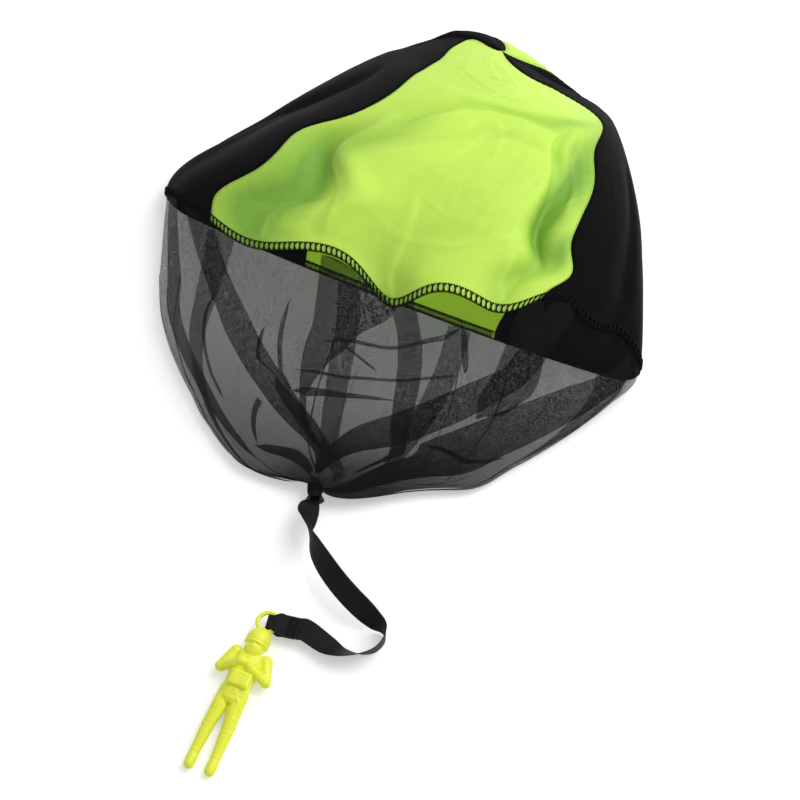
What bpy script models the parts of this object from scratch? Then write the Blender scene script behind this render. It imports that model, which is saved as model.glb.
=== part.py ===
"""Toy hand-thrown parachute, lying where it landed.

A four-gore nylon canopy is hemmed to a skirt of four net panels. The skirt is gathered into a
bound neck, a flat ribbon is sewn into the neck, and its far end is sewn round the ring on the
helmet of a one-piece moulded figure. +Z is up and the origin is on the floor under the canopy.
"""

import math

import bmesh
import bpy
import numpy as np
from mathutils import Matrix, Vector

# Points closer than this are one point.
WELD_DISTANCE = 1e-6

# Canopy and skirt together, as they lie on their side.
BAG_WIDTH = 0.290
BAG_DEPTH = 0.330
BAG_HEIGHT = 0.078
CLOTH_THICKNESS = 0.0005
NET_THICKNESS = 0.0004
SEAM_GAP = 0.0003
APEX_RADIUS = 0.0015
FOLD_DEPTH = 0.012
PLEAT_DEPTH = 0.0022
PLEATS_A_PANEL = 2

# Overlocked hem that joins canopy and skirt.
HEM_WIDTH = 0.0045
HEM_THICKNESS = 0.0009
HEM_GAP = 0.0005

# Thread wound round the neck of the skirt.
NECK_X = -0.0485
NECK_Y = -0.1730
NECK_HEIGHT = 0.0094
NECK_RADIUS = 0.0037
NECK_LENGTH = 0.0062
TUFT_RADIUS = 0.0054
TUFT_LENGTH = 0.0042
BINDING_THREAD_RADIUS = 0.0005
BINDING_TURNS = 3

# Ribbon.
RIBBON_WIDTH = 0.013
RIBBON_THICKNESS = 0.0006
RIBBON_GAP = 0.0003
RIBBON_ROOT_LENGTH = 0.017
RIBBON_EXIT_LENGTH = 0.0020
RIBBON_LEAD_LENGTH = 0.0060
RIBBON_SPREAD_LENGTH = 0.014

# Ring on the helmet, which the ribbon's eye goes round.
RING_RADIUS = 0.00575
RING_WIRE_RADIUS = 0.0014
RING_HEIGHT = 0.006
RING_X = -0.0732
RING_Y = -0.2578
FIGURE_TURN = math.radians(-22.5)

# Eye in the end of the ribbon.
EYE_TURN = math.radians(8.9)
EYE_FOLD_WIDTH = 0.0078
EYE_CLEARANCE = 0.00035
EYE_FOLD_REACH = 0.0015
EYE_LENGTH = 0.0115
EYE_TAIL_LENGTH = 0.0050
EYE_END_LENGTH = 0.0015
STITCH_RADIUS = 0.00025
STITCH_INSET = 0.0018

# Moulded figure, measured from the centre of its ring towards the feet.
HEAD_WIDTH = 0.0140
HEAD_LENGTH = 0.0168
HEAD_DISTANCE = 0.0131
FACE_WIDTH = 0.0108
FACE_LENGTH = 0.0125
BRIM_RADIUS = 0.0005
SHOULDER_DISTANCE = 0.0225
SHOULDER_SPAN = 0.0180
ELBOW_DISTANCE = 0.0335
ELBOW_SPAN = 0.0268
ARM_RADIUS = 0.0034
HAND_RADIUS = 0.0026
CHEST_DISTANCE = 0.0295
WAIST_DISTANCE = 0.0390
TORSO_WIDTH = 0.0166
TORSO_DEPTH = 0.0124
CROTCH_DISTANCE = 0.0526
HIP_RADIUS = 0.0046
KNEE_DISTANCE = 0.0665
KNEE_RADIUS = 0.0038
LEG_SPREAD = 0.0122
ANKLE_RADIUS = 0.0029
SOLE_DISTANCE = 0.0932
BOOT_RADIUS = 0.0032
PACK_WIDTH = 0.0120
PACK_LENGTH = 0.0092
PACK_DEPTH = 0.0036
PACK_OFFSET = 0.0012
PACK_EDGE = 0.0014

# Stations along the bag: apex, tip, shoulder, middle, hem and three down the skirt. The neck, its
# end and the tuft's rim follow from the sizes above.
APEX, HEM, NECK, NECK_END, TUFT = 0.0, 4.0, 8.0, 9.0, 10.0
LEFT_X_SHARES = (0.224, 0.103, -0.014, -0.262, -0.499, -0.498, -0.412, -0.293)
LEFT_Y_SHARES = (0.379, 0.447, 0.427, 0.291, 0.097, -0.124, -0.345, -0.492)
RIGHT_X_SHARES = (0.224, 0.350, 0.460, 0.507, 0.487, 0.416, 0.239, 0.110)
RIGHT_Y_SHARES = (0.379, 0.330, 0.258, -0.009, -0.295, -0.358, -0.467, -0.526)
EDGE_SHARES = (0.385, 0.200, 0.140, 0.120, 0.128, 0.115, 0.090, 0.085)
CROWN_SHARES = (0.385, 0.667, 0.846, 1.000, 0.769, 0.590, 0.423, 0.270)
DROP_SHARES = (0.000, 0.020, 0.130, 0.300, 0.320, 0.300, 0.220, 0.100)
BOW_SHARES = (0.000, -0.142, -0.185, -0.155, -0.080, -0.067, -0.018, 0.036)
BELLY_SHARES = (0.000, 0.050, -0.010, -0.024, -0.030, -0.050, -0.027, 0.015)

# Where the four seams cross each station, in degrees round the section from its left edge.
SEAM_DEGREES = (
    (5.0, 16.0, 38.0, 46.0, 39.0, 38.0, 42.0, 44.0, 45.0, 45.0, 45.0),
    (95.0, 162.0, 155.0, 129.5, 123.0, 128.0, 132.0, 134.0, 135.0, 135.0, 135.0),
    (195.0, 212.0, 222.0, 235.0, 246.0, 242.0, 234.0, 226.0, 225.0, 225.0, 225.0),
    (250.0, 278.0, 303.0, 303.0, 293.0, 297.0, 305.0, 313.0, 315.0, 315.0, 315.0),
)

# How far the cloth by the hem slides down the bag: turn, its spread, and stations.
SLIDE_SHARES = (
    (0.16, 0.22, 0.28),
    (0.60, 0.10, 0.32),
    (1.25, 0.17, -0.33),
)
SLIDE_REACH_SHARE = 0.9

# Main folds: turn, its spread, station, its spread, and depth as a share of FOLD_DEPTH.
FOLD_SHARES = (
    (0.17, 0.09, 3.45, 0.70, -0.55),
    (0.36, 0.08, 3.30, 0.80, 0.20),
    (0.585, 0.07, 4.35, 0.55, -0.90),
    (0.75, 0.08, 4.10, 0.55, 0.30),
    (0.88, 0.05, 3.30, 0.75, -0.60),
    (1.25, 0.10, 4.10, 0.70, -0.70),
    (3.75, 0.10, 3.20, 0.90, -0.35),
)

# Creases: places (turn, station), width and height as shares of FOLD_DEPTH.
CREASE_SHARES = (
    (((0.10, 2.60), (0.16, 2.95), (0.20, 3.16), (0.28, 3.36), (0.36, 3.62), (0.39, 3.95)), 0.80, 0.40),
    (((0.05, 2.75), (0.10, 3.10), (0.18, 3.40), (0.26, 3.70), (0.30, 4.00)), 0.90, -0.30),
    (((0.13, 2.85), (0.20, 2.50), (0.30, 2.25), (0.42, 2.09), (0.55, 2.04), (0.70, 2.13), (0.80, 2.25)), 0.65, -0.30),
    (((0.79, 2.10), (0.78, 2.45), (0.82, 2.75), (0.87, 3.10), (0.89, 3.45)), 0.60, -0.38),
    (((3.55, 3.90), (3.62, 3.40), (3.72, 2.80), (3.80, 2.20)), 0.80, -0.30),
    (((1.18, 3.80), (1.28, 3.20), (1.32, 2.40)), 0.90, -0.25),
)
CREASE_SHARP_SHARE = 0.6
TURN_SHARE = 0.69
STATION_SHARE = 0.20

# Free run of the ribbon, from the neck to the figure, and how far each point is turned on edge.
RIBBON_ROUTE = (
    (-0.0519, -0.1906, 0.0112),
    (-0.0520, -0.1979, 0.0138),
    (-0.0512, -0.2060, 0.0150),
    (-0.0471, -0.2174, 0.0165),
    (-0.0412, -0.2284, 0.0170),
    (-0.0344, -0.2381, 0.0160),
    (-0.0276, -0.2457, 0.0140),
    (-0.0209, -0.2520, 0.0115),
    (-0.0144, -0.2577, 0.0092),
    (-0.0095, -0.2616, 0.0077),
    (-0.0080, -0.2655, 0.0071),
    (-0.0099, -0.2706, 0.0070),
    (-0.0149, -0.2752, 0.0069),
    (-0.0231, -0.2770, 0.0066),
    (-0.0328, -0.2744, 0.0054),
    (-0.0410, -0.2700, 0.0049),
)
RIBBON_TILT_DEGREES = (180, 160, 125, 90, 48, 24, 12, 12, 26, 52, 78, 88, 86, 78, 62, 36, 12, 0, 0)

LIME = (0.60, 0.86, 0.13, 1.0)
BLACK = (0.012, 0.013, 0.012, 1.0)
NET_GREY = (0.035, 0.036, 0.038, 1.0)
THREAD_GREEN = (0.05, 0.09, 0.04, 1.0)
FIGURE_YELLOW = (0.77, 0.90, 0.05, 1.0)


def clear_scene():
    """Removes what the file starts with."""
    for obj in list(bpy.data.objects):
        bpy.data.objects.remove(obj, do_unlink=True)


def new_collection(name):
    """Makes a collection under the scene's own."""
    collection = bpy.data.collections.new(name)
    bpy.context.scene.collection.children.link(collection)
    return collection


def new_material(name, colour, roughness):
    """Makes a Principled material of one colour."""
    material = bpy.data.materials.new(name)
    material.use_nodes = True
    shader = material.node_tree.nodes["Principled BSDF"]
    shader.inputs["Base Color"].default_value = colour
    shader.inputs["Roughness"].default_value = roughness
    shader.inputs["Metallic"].default_value = 0.0
    material.diffuse_color = colour
    return material


def add_mesh(name, mesh, material, collection):
    """Wraps a mesh in an object of the collection."""
    mesh.materials.append(material)
    obj = bpy.data.objects.new(name, mesh)
    collection.objects.link(obj)
    return obj


def grid_object(name, points, thickness, material, collection):
    """Makes a cloth shell: a smooth grid of rows by columns of points, thickened to both sides."""
    rows, columns = points.shape[:2]
    index = np.arange(rows * columns).reshape(rows, columns)
    faces = np.stack([index[:-1, :-1], index[:-1, 1:], index[1:, 1:], index[1:, :-1]], axis=-1)
    mesh = bpy.data.meshes.new(name)
    mesh.from_pydata(points.reshape(-1, 3).tolist(), [], faces.reshape(-1, 4).tolist())
    mesh.shade_smooth()
    obj = add_mesh(name, mesh, material, collection)
    solidify = obj.modifiers.new("Thickness", "SOLIDIFY")
    solidify.thickness = thickness
    solidify.offset = 0.0
    solidify.use_even_offset = True
    return obj


def smooth(values, at):
    """Reads the Catmull-Rom curve through evenly spaced values at the places `at`."""
    values = np.asarray(values, float)
    values = np.concatenate([[2 * values[0] - values[1]], values, [2 * values[-1] - values[-2]]])
    first = np.clip(np.floor(at).astype(int), 0, len(values) - 4)
    share = at - first
    a, b, c, d = (values[first + step] for step in range(4))
    return b + 0.5 * share * (c - a + share * (2 * a - 5 * b + 4 * c - d + share * (3 * (b - c) + d - a)))


def steady(values, at):
    """Reads a cubic through evenly spaced values that never swings past them.

    The slope at a value is the harmonic mean of the steps on its two sides, or zero where they
    go opposite ways.
    """
    values = np.asarray(values, float)
    steps = np.diff(values)
    same_way = steps[:-1] * steps[1:] > 0
    inner = np.where(same_way, 2 * steps[:-1] * steps[1:] / np.where(same_way, steps[:-1] + steps[1:], 1), 0)
    slopes = np.concatenate([steps[:1], inner, steps[-1:]])
    first = np.clip(np.floor(at).astype(int), 0, len(values) - 2)
    share = at - first
    rise = share * share * (3 - 2 * share)
    return (
        values[first] * (1 - rise)
        + values[first + 1] * rise
        + share * (1 - share) * (slopes[first] * (1 - share) - slopes[first + 1] * share)
    )


def section_angle(turn, along):
    """Turns quarter panels, counted from the left upper seam, into radians round the section."""
    seams = [steady(degrees, along) for degrees in SEAM_DEGREES]
    seams.append(seams[0] + 360.0)
    panel = np.clip(np.floor(turn % 4.0), 0, 3)
    share = turn % 4.0 - panel
    angle = sum(
        np.where(panel == side, seams[side] * (1 - share) + seams[side + 1] * share, 0.0) for side in range(4)
    )
    return np.radians(angle)


def bag_stations():
    """Left and right folds, edge and crown heights, drop, bow and belly at each station, in metres."""
    radii = np.array([NECK_RADIUS, NECK_RADIUS, TUFT_RADIUS])
    down = NECK_Y - np.array([0.0, NECK_LENGTH, NECK_LENGTH + TUFT_LENGTH])
    none = np.zeros(3)
    return (
        np.append(BAG_WIDTH * np.array(LEFT_X_SHARES), NECK_X - radii),
        np.append(BAG_DEPTH * np.array(LEFT_Y_SHARES), down),
        np.append(BAG_WIDTH * np.array(RIGHT_X_SHARES), NECK_X + radii),
        np.append(BAG_DEPTH * np.array(RIGHT_Y_SHARES), down),
        np.append(BAG_HEIGHT * np.array(EDGE_SHARES), NECK_HEIGHT + none),
        np.append(BAG_HEIGHT * np.array(CROWN_SHARES), NECK_HEIGHT + radii),
        np.append(BAG_HEIGHT * np.array(DROP_SHARES), radii),
        np.append(BAG_DEPTH * np.array(BOW_SHARES), none),
        np.append(BAG_DEPTH * np.array(BELLY_SHARES), none),
    )


def bell(value):
    """One at zero, falling away smoothly on both sides."""
    return np.exp(-(value**2))


def turn_apart(turn, at):
    """Quarter panels from `at` to `turn`, the shorter way round."""
    return (turn - at + 2) % 4 - 2


def crease_push(turn, along):
    """Height of the creases over the cloth, a bell over the distance to each poly line.

    Distances are taken on the cloth as if it were flat. The bell is narrower on one side of the
    line, and its height dies away to both ends.
    """
    flat = np.array([BAG_WIDTH * TURN_SHARE, BAG_DEPTH * STATION_SHARE])
    total = np.zeros(turn.shape)
    for route, width, height in CREASE_SHARES:
        nearest = np.full(turn.shape, np.inf)
        side, share = np.zeros(turn.shape), np.zeros(turn.shape)
        for number, (start, end) in enumerate(zip(route[:-1], route[1:])):
            chord = (np.array(end) - start) * flat
            off = np.stack([turn_apart(turn, start[0]), along - start[1]], -1) * flat
            at = np.clip(off @ chord / (chord @ chord), 0, 1)
            away = off - at[..., None] * chord
            distance = np.linalg.norm(away, axis=-1)
            closer = distance < nearest
            nearest = np.where(closer, distance, nearest)
            side = np.where(closer, chord[0] * away[..., 1] - chord[1] * away[..., 0], side)
            share = np.where(closer, (number + at) / (len(route) - 1), share)
        sided = FOLD_DEPTH * width * np.where(side > 0, CREASE_SHARP_SHARE, 1.0)
        total = total + height * bell(nearest / sided) * (1 - (2 * share - 1) ** 4)
    return total


def bag(turn, along, thickness):
    """Middle of the cloth at quarter panels `turn` and stations `along`.

    A section is a half ellipse up to the crown over one that is pressed flat on the floor. The
    folds' bells, the creases and the skirt's pleats move it along the section's own normal.
    """
    turn, along = np.broadcast_arrays(np.asarray(turn, float), np.asarray(along, float))
    slide = sum(stations * bell(turn_apart(turn, at) / spread) for at, spread, stations in SLIDE_SHARES)
    along = along + slide * bell((along - HEM) / SLIDE_REACH_SHARE)
    angle = section_angle(turn, along)
    across, rise = -np.cos(angle), np.sin(angle)
    upper, lower = np.maximum(rise, 0.0), np.maximum(-rise, 0.0)
    left_x, left_y, right_x, right_y, edge, crown, drop, bow, belly = (
        steady(values, along) for values in bag_stations()
    )
    left, right = np.stack([left_x, left_y], -1), np.stack([right_x, right_y], -1)
    half = (right - left) / 2
    width = np.linalg.norm(half, axis=-1)
    plan = (left + right) / 2 + half * across[..., None]
    arch = crown - edge
    height = edge + arch * upper - drop * lower
    normal = np.stack([across * np.where(rise > 0, arch, drop), rise * width], -1)
    normal /= np.maximum(np.linalg.norm(normal, axis=-1, keepdims=True), 1e-9)
    push = sum(
        depth * bell(turn_apart(turn, at) / spread) * bell((along - station) / reach)
        for at, spread, station, reach, depth in FOLD_SHARES
    )
    push = FOLD_DEPTH * (push + crease_push(turn, along))
    pleated = np.clip((along - HEM) / 1.5, 0.0, 1.0) * np.clip((NECK - along) / 1.5, 0.0, 1.0)
    push = push + PLEAT_DEPTH * pleated * np.cos(2 * math.pi * PLEATS_A_PANEL * turn)
    chord = half / np.maximum(width, 1e-9)[..., None]
    x = plan[..., 0] + chord[..., 0] * normal[..., 0] * push
    y = plan[..., 1] + chord[..., 1] * normal[..., 0] * push + bow * upper + belly * lower
    z = height + normal[..., 1] * push
    return np.stack([x, y, np.maximum(z, thickness / 2)], -1)


def spread(turn, along, by_turn):
    """Metres of cloth, square to its other direction, for one unit of turn or of station."""
    step = 0.01
    here = bag(turn, along, 0.0)
    round_it = bag(turn + step, along, 0.0) - here
    down_it = bag(turn, along + step, 0.0) - here
    area = np.linalg.norm(np.cross(round_it, down_it), axis=-1)
    other = down_it if by_turn else round_it
    return area / np.linalg.norm(other, axis=-1) / step


def seam_gap(along):
    """Gap between two panels, wider by the tip, where the cloth is creased along the seams."""
    return SEAM_GAP * (1 + np.exp(-((along / 1.6) ** 2)))


def bag_panel(panel, columns, stations, insets, thickness):
    """Grid of one panel, each row at its station and moved from it by a real distance along the cloth."""
    turn = np.linspace(panel, panel + 1, columns + 1)[None, :]
    stations, insets = np.array(stations)[:, None], np.array(insets)[:, None]
    at = np.clip(stations + 0 * turn, APEX + 0.01, TUFT - 0.01)
    along = stations + insets / spread(turn + 0 * at, at, False)
    near, far = along[:, :1], along[:, -1:]
    first = seam_gap(near) / 2 / spread(np.full_like(near, panel), near, True)
    last = seam_gap(far) / 2 / spread(np.full_like(far, panel + 0.985), far, True)
    turn = panel + first + (1 - first - last) * np.linspace(0, 1, columns + 1)[None, :]
    return bag(turn, along, thickness)


def gore(name, panel, columns, rows, material, collection):
    """One gore of the canopy, from the apex to the hem."""
    insets = [APEX_RADIUS] + [0.0] * (rows - 1) + [-(HEM_WIDTH + HEM_GAP) / 2]
    points = bag_panel(panel, columns, np.linspace(APEX, HEM, rows + 1), insets, CLOTH_THICKNESS)
    return grid_object(name, points, CLOTH_THICKNESS, material, collection)


def hem(name, panel, columns, material, collection):
    """The overlocked band under one gore."""
    inset = (HEM_WIDTH - HEM_GAP) / 2
    points = bag_panel(panel, columns, [HEM] * 3, [-inset, 0.0, inset], HEM_THICKNESS)
    return grid_object(name, points, HEM_THICKNESS, material, collection)


def net_panel(name, panel, columns, rows, material, collection):
    """One panel of the skirt, from the hem through the neck to the tuft."""
    insets = [(HEM_WIDTH + HEM_GAP) / 2] + [0.0] * rows
    points = bag_panel(panel, columns, np.linspace(HEM, TUFT, rows + 1), insets, NET_THICKNESS)
    return grid_object(name, points, NET_THICKNESS, material, collection)


def neck_frame():
    """Centre of the neck, of the tuft's rim, and the direction in which the neck leaves the skirt."""
    turns = np.array([1.5, 3.5])
    start, end, rim = (bag(turns, np.full(2, place), 0.0).mean(axis=0) for place in (NECK, NECK_END, TUFT))
    direction = (end - start) / np.linalg.norm(end - start)
    return (start + end) / 2, rim, direction


def curve_object(name, points, radius, material, collection, closed=False, resolution=2):
    """A round bar along a poly line, made a mesh."""
    curve = bpy.data.curves.new(name, "CURVE")
    curve.dimensions = "3D"
    curve.bevel_depth = 1.0
    curve.bevel_resolution = resolution
    curve.use_fill_caps = True
    spline = curve.splines.new("POLY")
    spline.points.add(len(points) - 1)
    radii = radius if isinstance(radius, (list, tuple)) else [radius] * len(points)
    for place, point, size in zip(spline.points, points, radii):
        place.co = (*point, 1.0)
        place.radius = size
    spline.use_cyclic_u = closed
    source = bpy.data.objects.new(name + "_curve", curve)
    collection.objects.link(source)
    graph = bpy.context.evaluated_depsgraph_get()
    mesh = bpy.data.meshes.new_from_object(source.evaluated_get(graph))
    bpy.data.objects.remove(source, do_unlink=True)
    work = bmesh.new()
    work.from_mesh(mesh)
    bmesh.ops.remove_doubles(work, verts=work.verts, dist=WELD_DISTANCE / 10)
    bmesh.ops.recalc_face_normals(work, faces=work.faces)
    work.to_mesh(mesh)
    work.free()
    mesh.name = name
    mesh.shade_smooth()
    mesh.set_sharp_from_angle(angle=math.radians(50))
    mesh.materials.clear()
    return add_mesh(name, mesh, material, collection)


def binding(material, collection):
    """Thread wound in a close helix round the neck."""
    centre, _, direction = neck_frame()
    side = np.cross(direction, (0, 0, 1))
    steps = 14 * BINDING_TURNS
    turned = np.linspace(0, 2 * math.pi * BINDING_TURNS, steps + 1)
    radius = NECK_RADIUS + NET_THICKNESS / 2 + SEAM_GAP + BINDING_THREAD_RADIUS
    pitch = 2 * BINDING_THREAD_RADIUS + SEAM_GAP
    reach = pitch * (turned / (2 * math.pi) - BINDING_TURNS / 2)
    points = (
        centre
        + np.outer(reach, direction)
        + radius * (np.outer(np.cos(turned), side) + np.outer(np.sin(turned), (0, 0, 1)))
    )
    return curve_object("gather_binding", points.tolist(), BINDING_THREAD_RADIUS, material, collection, resolution=1)


def eye_directions():
    """Unit vectors of the ribbon at its eye: away from the ring, and across the ribbon."""
    angle = FIGURE_TURN + EYE_TURN
    return np.array([math.cos(angle), math.sin(angle), 0.0]), np.array([-math.sin(angle), math.cos(angle), 0.0])


def eye_levels():
    """Height over the ring's plane of the eye's layers round the wire, and of the sewn layers."""
    open_level = RING_WIRE_RADIUS + EYE_CLEARANCE + RIBBON_THICKNESS / 2
    return open_level, (RIBBON_THICKNESS + RIBBON_GAP) / 2


def ribbon_end_point():
    """Where the free ribbon runs into its sewn end."""
    away, _ = eye_directions()
    reach = EYE_LENGTH + EYE_TAIL_LENGTH + EYE_END_LENGTH + RIBBON_GAP / 2
    return np.array([RING_X, RING_Y, RING_HEIGHT + eye_levels()[1]]) + away * reach


def ribbon_start_point():
    """Where the free ribbon leaves the part that is bunched into the neck."""
    _, rim, direction = neck_frame()
    return rim + direction * RIBBON_EXIT_LENGTH


def bunched_width():
    """Width of the ribbon where it fills the neck."""
    return 2 * (NECK_RADIUS - NET_THICKNESS / 2 - RIBBON_GAP)


def ribbon_route():
    """The chosen points between the neck's exit and a straight lead into the sewn end."""
    away, _ = eye_directions()
    end = ribbon_end_point()
    return np.array([ribbon_start_point(), *RIBBON_ROUTE, end + away * RIBBON_LEAD_LENGTH, end])


def ribbon_line(at):
    """Centre of the ribbon and its width direction at positions along its route."""
    route = ribbon_route()
    at = np.asarray(at, float)
    centre = np.stack([smooth(route[:, axis], at) for axis in range(3)], -1)
    ahead = np.stack([smooth(route[:, axis], np.minimum(at + 0.02, len(route) - 1)) for axis in range(3)], -1)
    behind = np.stack([smooth(route[:, axis], np.maximum(at - 0.02, 0)) for axis in range(3)], -1)
    tangent = (ahead - behind) / np.linalg.norm(ahead - behind, axis=-1, keepdims=True)
    side = np.cross((0, 0, 1), tangent)
    side /= np.linalg.norm(side, axis=-1, keepdims=True)
    tilt = np.radians(smooth(RIBBON_TILT_DEGREES, at))[:, None]
    return centre, side * np.cos(tilt) + np.cross(tangent, side) * np.sin(tilt)


def ribbon(material, collection):
    """The free ribbon, a strip along its route that twists, stands on its edge and lies down."""
    last = len(RIBBON_TILT_DEGREES) - 1
    centre, across = ribbon_line(np.linspace(0, last, 3 * last + 1))
    run = np.concatenate([[0], np.cumsum(np.linalg.norm(np.diff(centre, axis=0), axis=1))])
    spread = np.clip(run / RIBBON_SPREAD_LENGTH, 0, 1)
    width = bunched_width() + (RIBBON_WIDTH - bunched_width()) * spread * (2 - spread)
    share = np.linspace(-0.5, 0.5, 4)[None, :, None]
    points = centre[:, None, :] + across[:, None, :] * width[:, None, None] * share
    print(f"ribbon length {run[-1]:.4f} m")
    return grid_object("ribbon", points, RIBBON_THICKNESS, material, collection)


def ribbon_root(material, collection):
    """The end of the ribbon that is bunched into the neck."""
    _, across = ribbon_line(np.array([0.0]))
    _, _, direction = neck_frame()
    reach = np.linspace(RIBBON_GAP, RIBBON_ROOT_LENGTH, 4)
    centre = ribbon_start_point() - np.outer(reach, direction)
    share = np.linspace(-0.5, 0.5, 3)[None, :, None]
    points = centre[:, None, :] + across * bunched_width() * share
    return grid_object("ribbon_root", points, RIBBON_THICKNESS, material, collection)


def eye_profile():
    """Distance from the ring's centre and height of the strip, from its end round the wire to its tail."""
    open_level, sewn_level = eye_levels()
    arc = np.radians(np.linspace(90, 270, 9))
    distance = np.concatenate(
        [
            [EYE_LENGTH + EYE_TAIL_LENGTH + EYE_END_LENGTH - RIBBON_GAP / 2],
            EYE_LENGTH + EYE_TAIL_LENGTH * np.array([1.0, 0.5, 0.0]),
            EYE_FOLD_REACH + (EYE_LENGTH - EYE_FOLD_REACH) * np.array([0.8, 0.6, 0.4]),
            EYE_FOLD_REACH + open_level * np.cos(arc),
            EYE_FOLD_REACH + (EYE_LENGTH - EYE_FOLD_REACH) * np.array([0.4, 0.6, 0.8]),
            EYE_LENGTH + EYE_TAIL_LENGTH * np.array([0.0, 0.5, 1.0]),
        ]
    )
    ramp = np.array([0.12, 0.75, 1.0])
    rising = sewn_level + (open_level - sewn_level) * ramp
    height = np.concatenate(
        [[sewn_level] * 4, rising, open_level * np.sin(arc), -rising[::-1], [-sewn_level] * 3]
    )
    return distance, height


def ribbon_eye(material, collection):
    """The ribbon's end, passed through the ring, folded back and sewn to itself."""
    away, across = eye_directions()
    distance, height = eye_profile()
    open_reach = RING_RADIUS + RING_WIRE_RADIUS
    spread = np.clip((distance - EYE_FOLD_REACH) / (open_reach - EYE_FOLD_REACH), 0, 1)
    width = EYE_FOLD_WIDTH + (RIBBON_WIDTH - EYE_FOLD_WIDTH) * spread
    centre = np.array([RING_X, RING_Y, RING_HEIGHT]) + np.outer(distance, away) + np.outer(height, (0, 0, 1))
    share = np.linspace(-0.5, 0.5, 4)[None, :, None]
    points = centre[:, None, :] + across * width[:, None, None] * share
    return grid_object("ribbon_eye", points, RIBBON_THICKNESS, material, collection)


def eye_stitching(material, collection):
    """A box of stitches that holds the folded end."""
    away, across = eye_directions()
    level = RING_HEIGHT + eye_levels()[1] + RIBBON_THICKNESS / 2 + SEAM_GAP + STITCH_RADIUS
    near, far = EYE_LENGTH + STITCH_RADIUS, EYE_LENGTH + EYE_TAIL_LENGTH - STITCH_RADIUS
    side = RIBBON_WIDTH / 2 - STITCH_INSET
    centre = np.array([RING_X, RING_Y, level])
    corners = ((near, -side), (far, -side), (far, side), (near, side))
    points = [(centre + away * reach + across * shift).tolist() for reach, shift in corners]
    return curve_object("eye_stitching", points, STITCH_RADIUS, material, collection, closed=True)


def ball(name, place, size, material, collection, segments=20):
    """An ellipsoid of the given full sizes."""
    mesh = bpy.data.meshes.new(name)
    work = bmesh.new()
    bmesh.ops.create_uvsphere(work, u_segments=segments, v_segments=segments // 2, radius=1.0)
    bmesh.ops.scale(work, vec=Vector(size) / 2, verts=work.verts)
    bmesh.ops.translate(work, vec=Vector(place), verts=work.verts)
    work.to_mesh(mesh)
    work.free()
    return add_mesh(name, mesh, material, collection)


def torso(material, collection):
    """Neck, shoulders, chest, waist and seat as a loft of ellipses with a flat back."""
    half_width, half_depth = TORSO_WIDTH / 2, TORSO_DEPTH / 2
    sections = (
        (-HEAD_DISTANCE - HEAD_LENGTH * 0.30, 0.42 * half_width, 0.62 * half_depth),
        (-SHOULDER_DISTANCE + ARM_RADIUS * 0.7, 0.62 * half_width, 0.70 * half_depth),
        (-SHOULDER_DISTANCE, 1.02 * half_width, 0.86 * half_depth),
        (-CHEST_DISTANCE, 1.04 * half_width, half_depth),
        (-WAIST_DISTANCE, 0.92 * half_width, 0.90 * half_depth),
        (-(WAIST_DISTANCE + CROTCH_DISTANCE) / 2, 1.03 * half_width, 0.95 * half_depth),
        (-CROTCH_DISTANCE + HIP_RADIUS * 0.5, 0.98 * half_width, 0.82 * half_depth),
        (-CROTCH_DISTANCE, 0.80 * half_width, 0.55 * half_depth),
    )
    around = np.radians(np.arange(0, 360, 15))
    rings = [
        [(wide * math.cos(a), place, max(deep * math.sin(a), -RING_HEIGHT)) for a in around]
        for place, wide, deep in sections
    ]
    count = len(around)
    verts = [point for ring in rings for point in ring]
    faces = [
        (base + k, base + (k + 1) % count, base + count + (k + 1) % count, base + count + k)
        for base in range(0, count * (len(rings) - 1), count)
        for k in range(count)
    ]
    faces += [tuple(range(count))[::-1], tuple(range(len(verts) - count, len(verts)))]
    mesh = bpy.data.meshes.new("torso")
    mesh.from_pydata(verts, [], faces)
    work = bmesh.new()
    work.from_mesh(mesh)
    bmesh.ops.recalc_face_normals(work, faces=work.faces)
    work.to_mesh(mesh)
    work.free()
    return add_mesh("figure", mesh, material, collection)


def reserve_pack(material, collection):
    """The pack moulded on the belly, a box with rounded edges."""
    mesh = bpy.data.meshes.new("pack")
    work = bmesh.new()
    bmesh.ops.create_cube(work, size=1.0)
    bmesh.ops.scale(work, vec=(PACK_WIDTH, PACK_LENGTH, PACK_DEPTH), verts=work.verts)
    bmesh.ops.bevel(work, geom=list(work.edges), offset=PACK_EDGE, segments=2, affect="EDGES", profile=0.5)
    place = (PACK_OFFSET, -WAIST_DISTANCE, TORSO_DEPTH / 2 + PACK_DEPTH * 0.1)
    bmesh.ops.translate(work, vec=place, verts=work.verts)
    work.to_mesh(mesh)
    work.free()
    return add_mesh("pack", mesh, material, collection)


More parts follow.
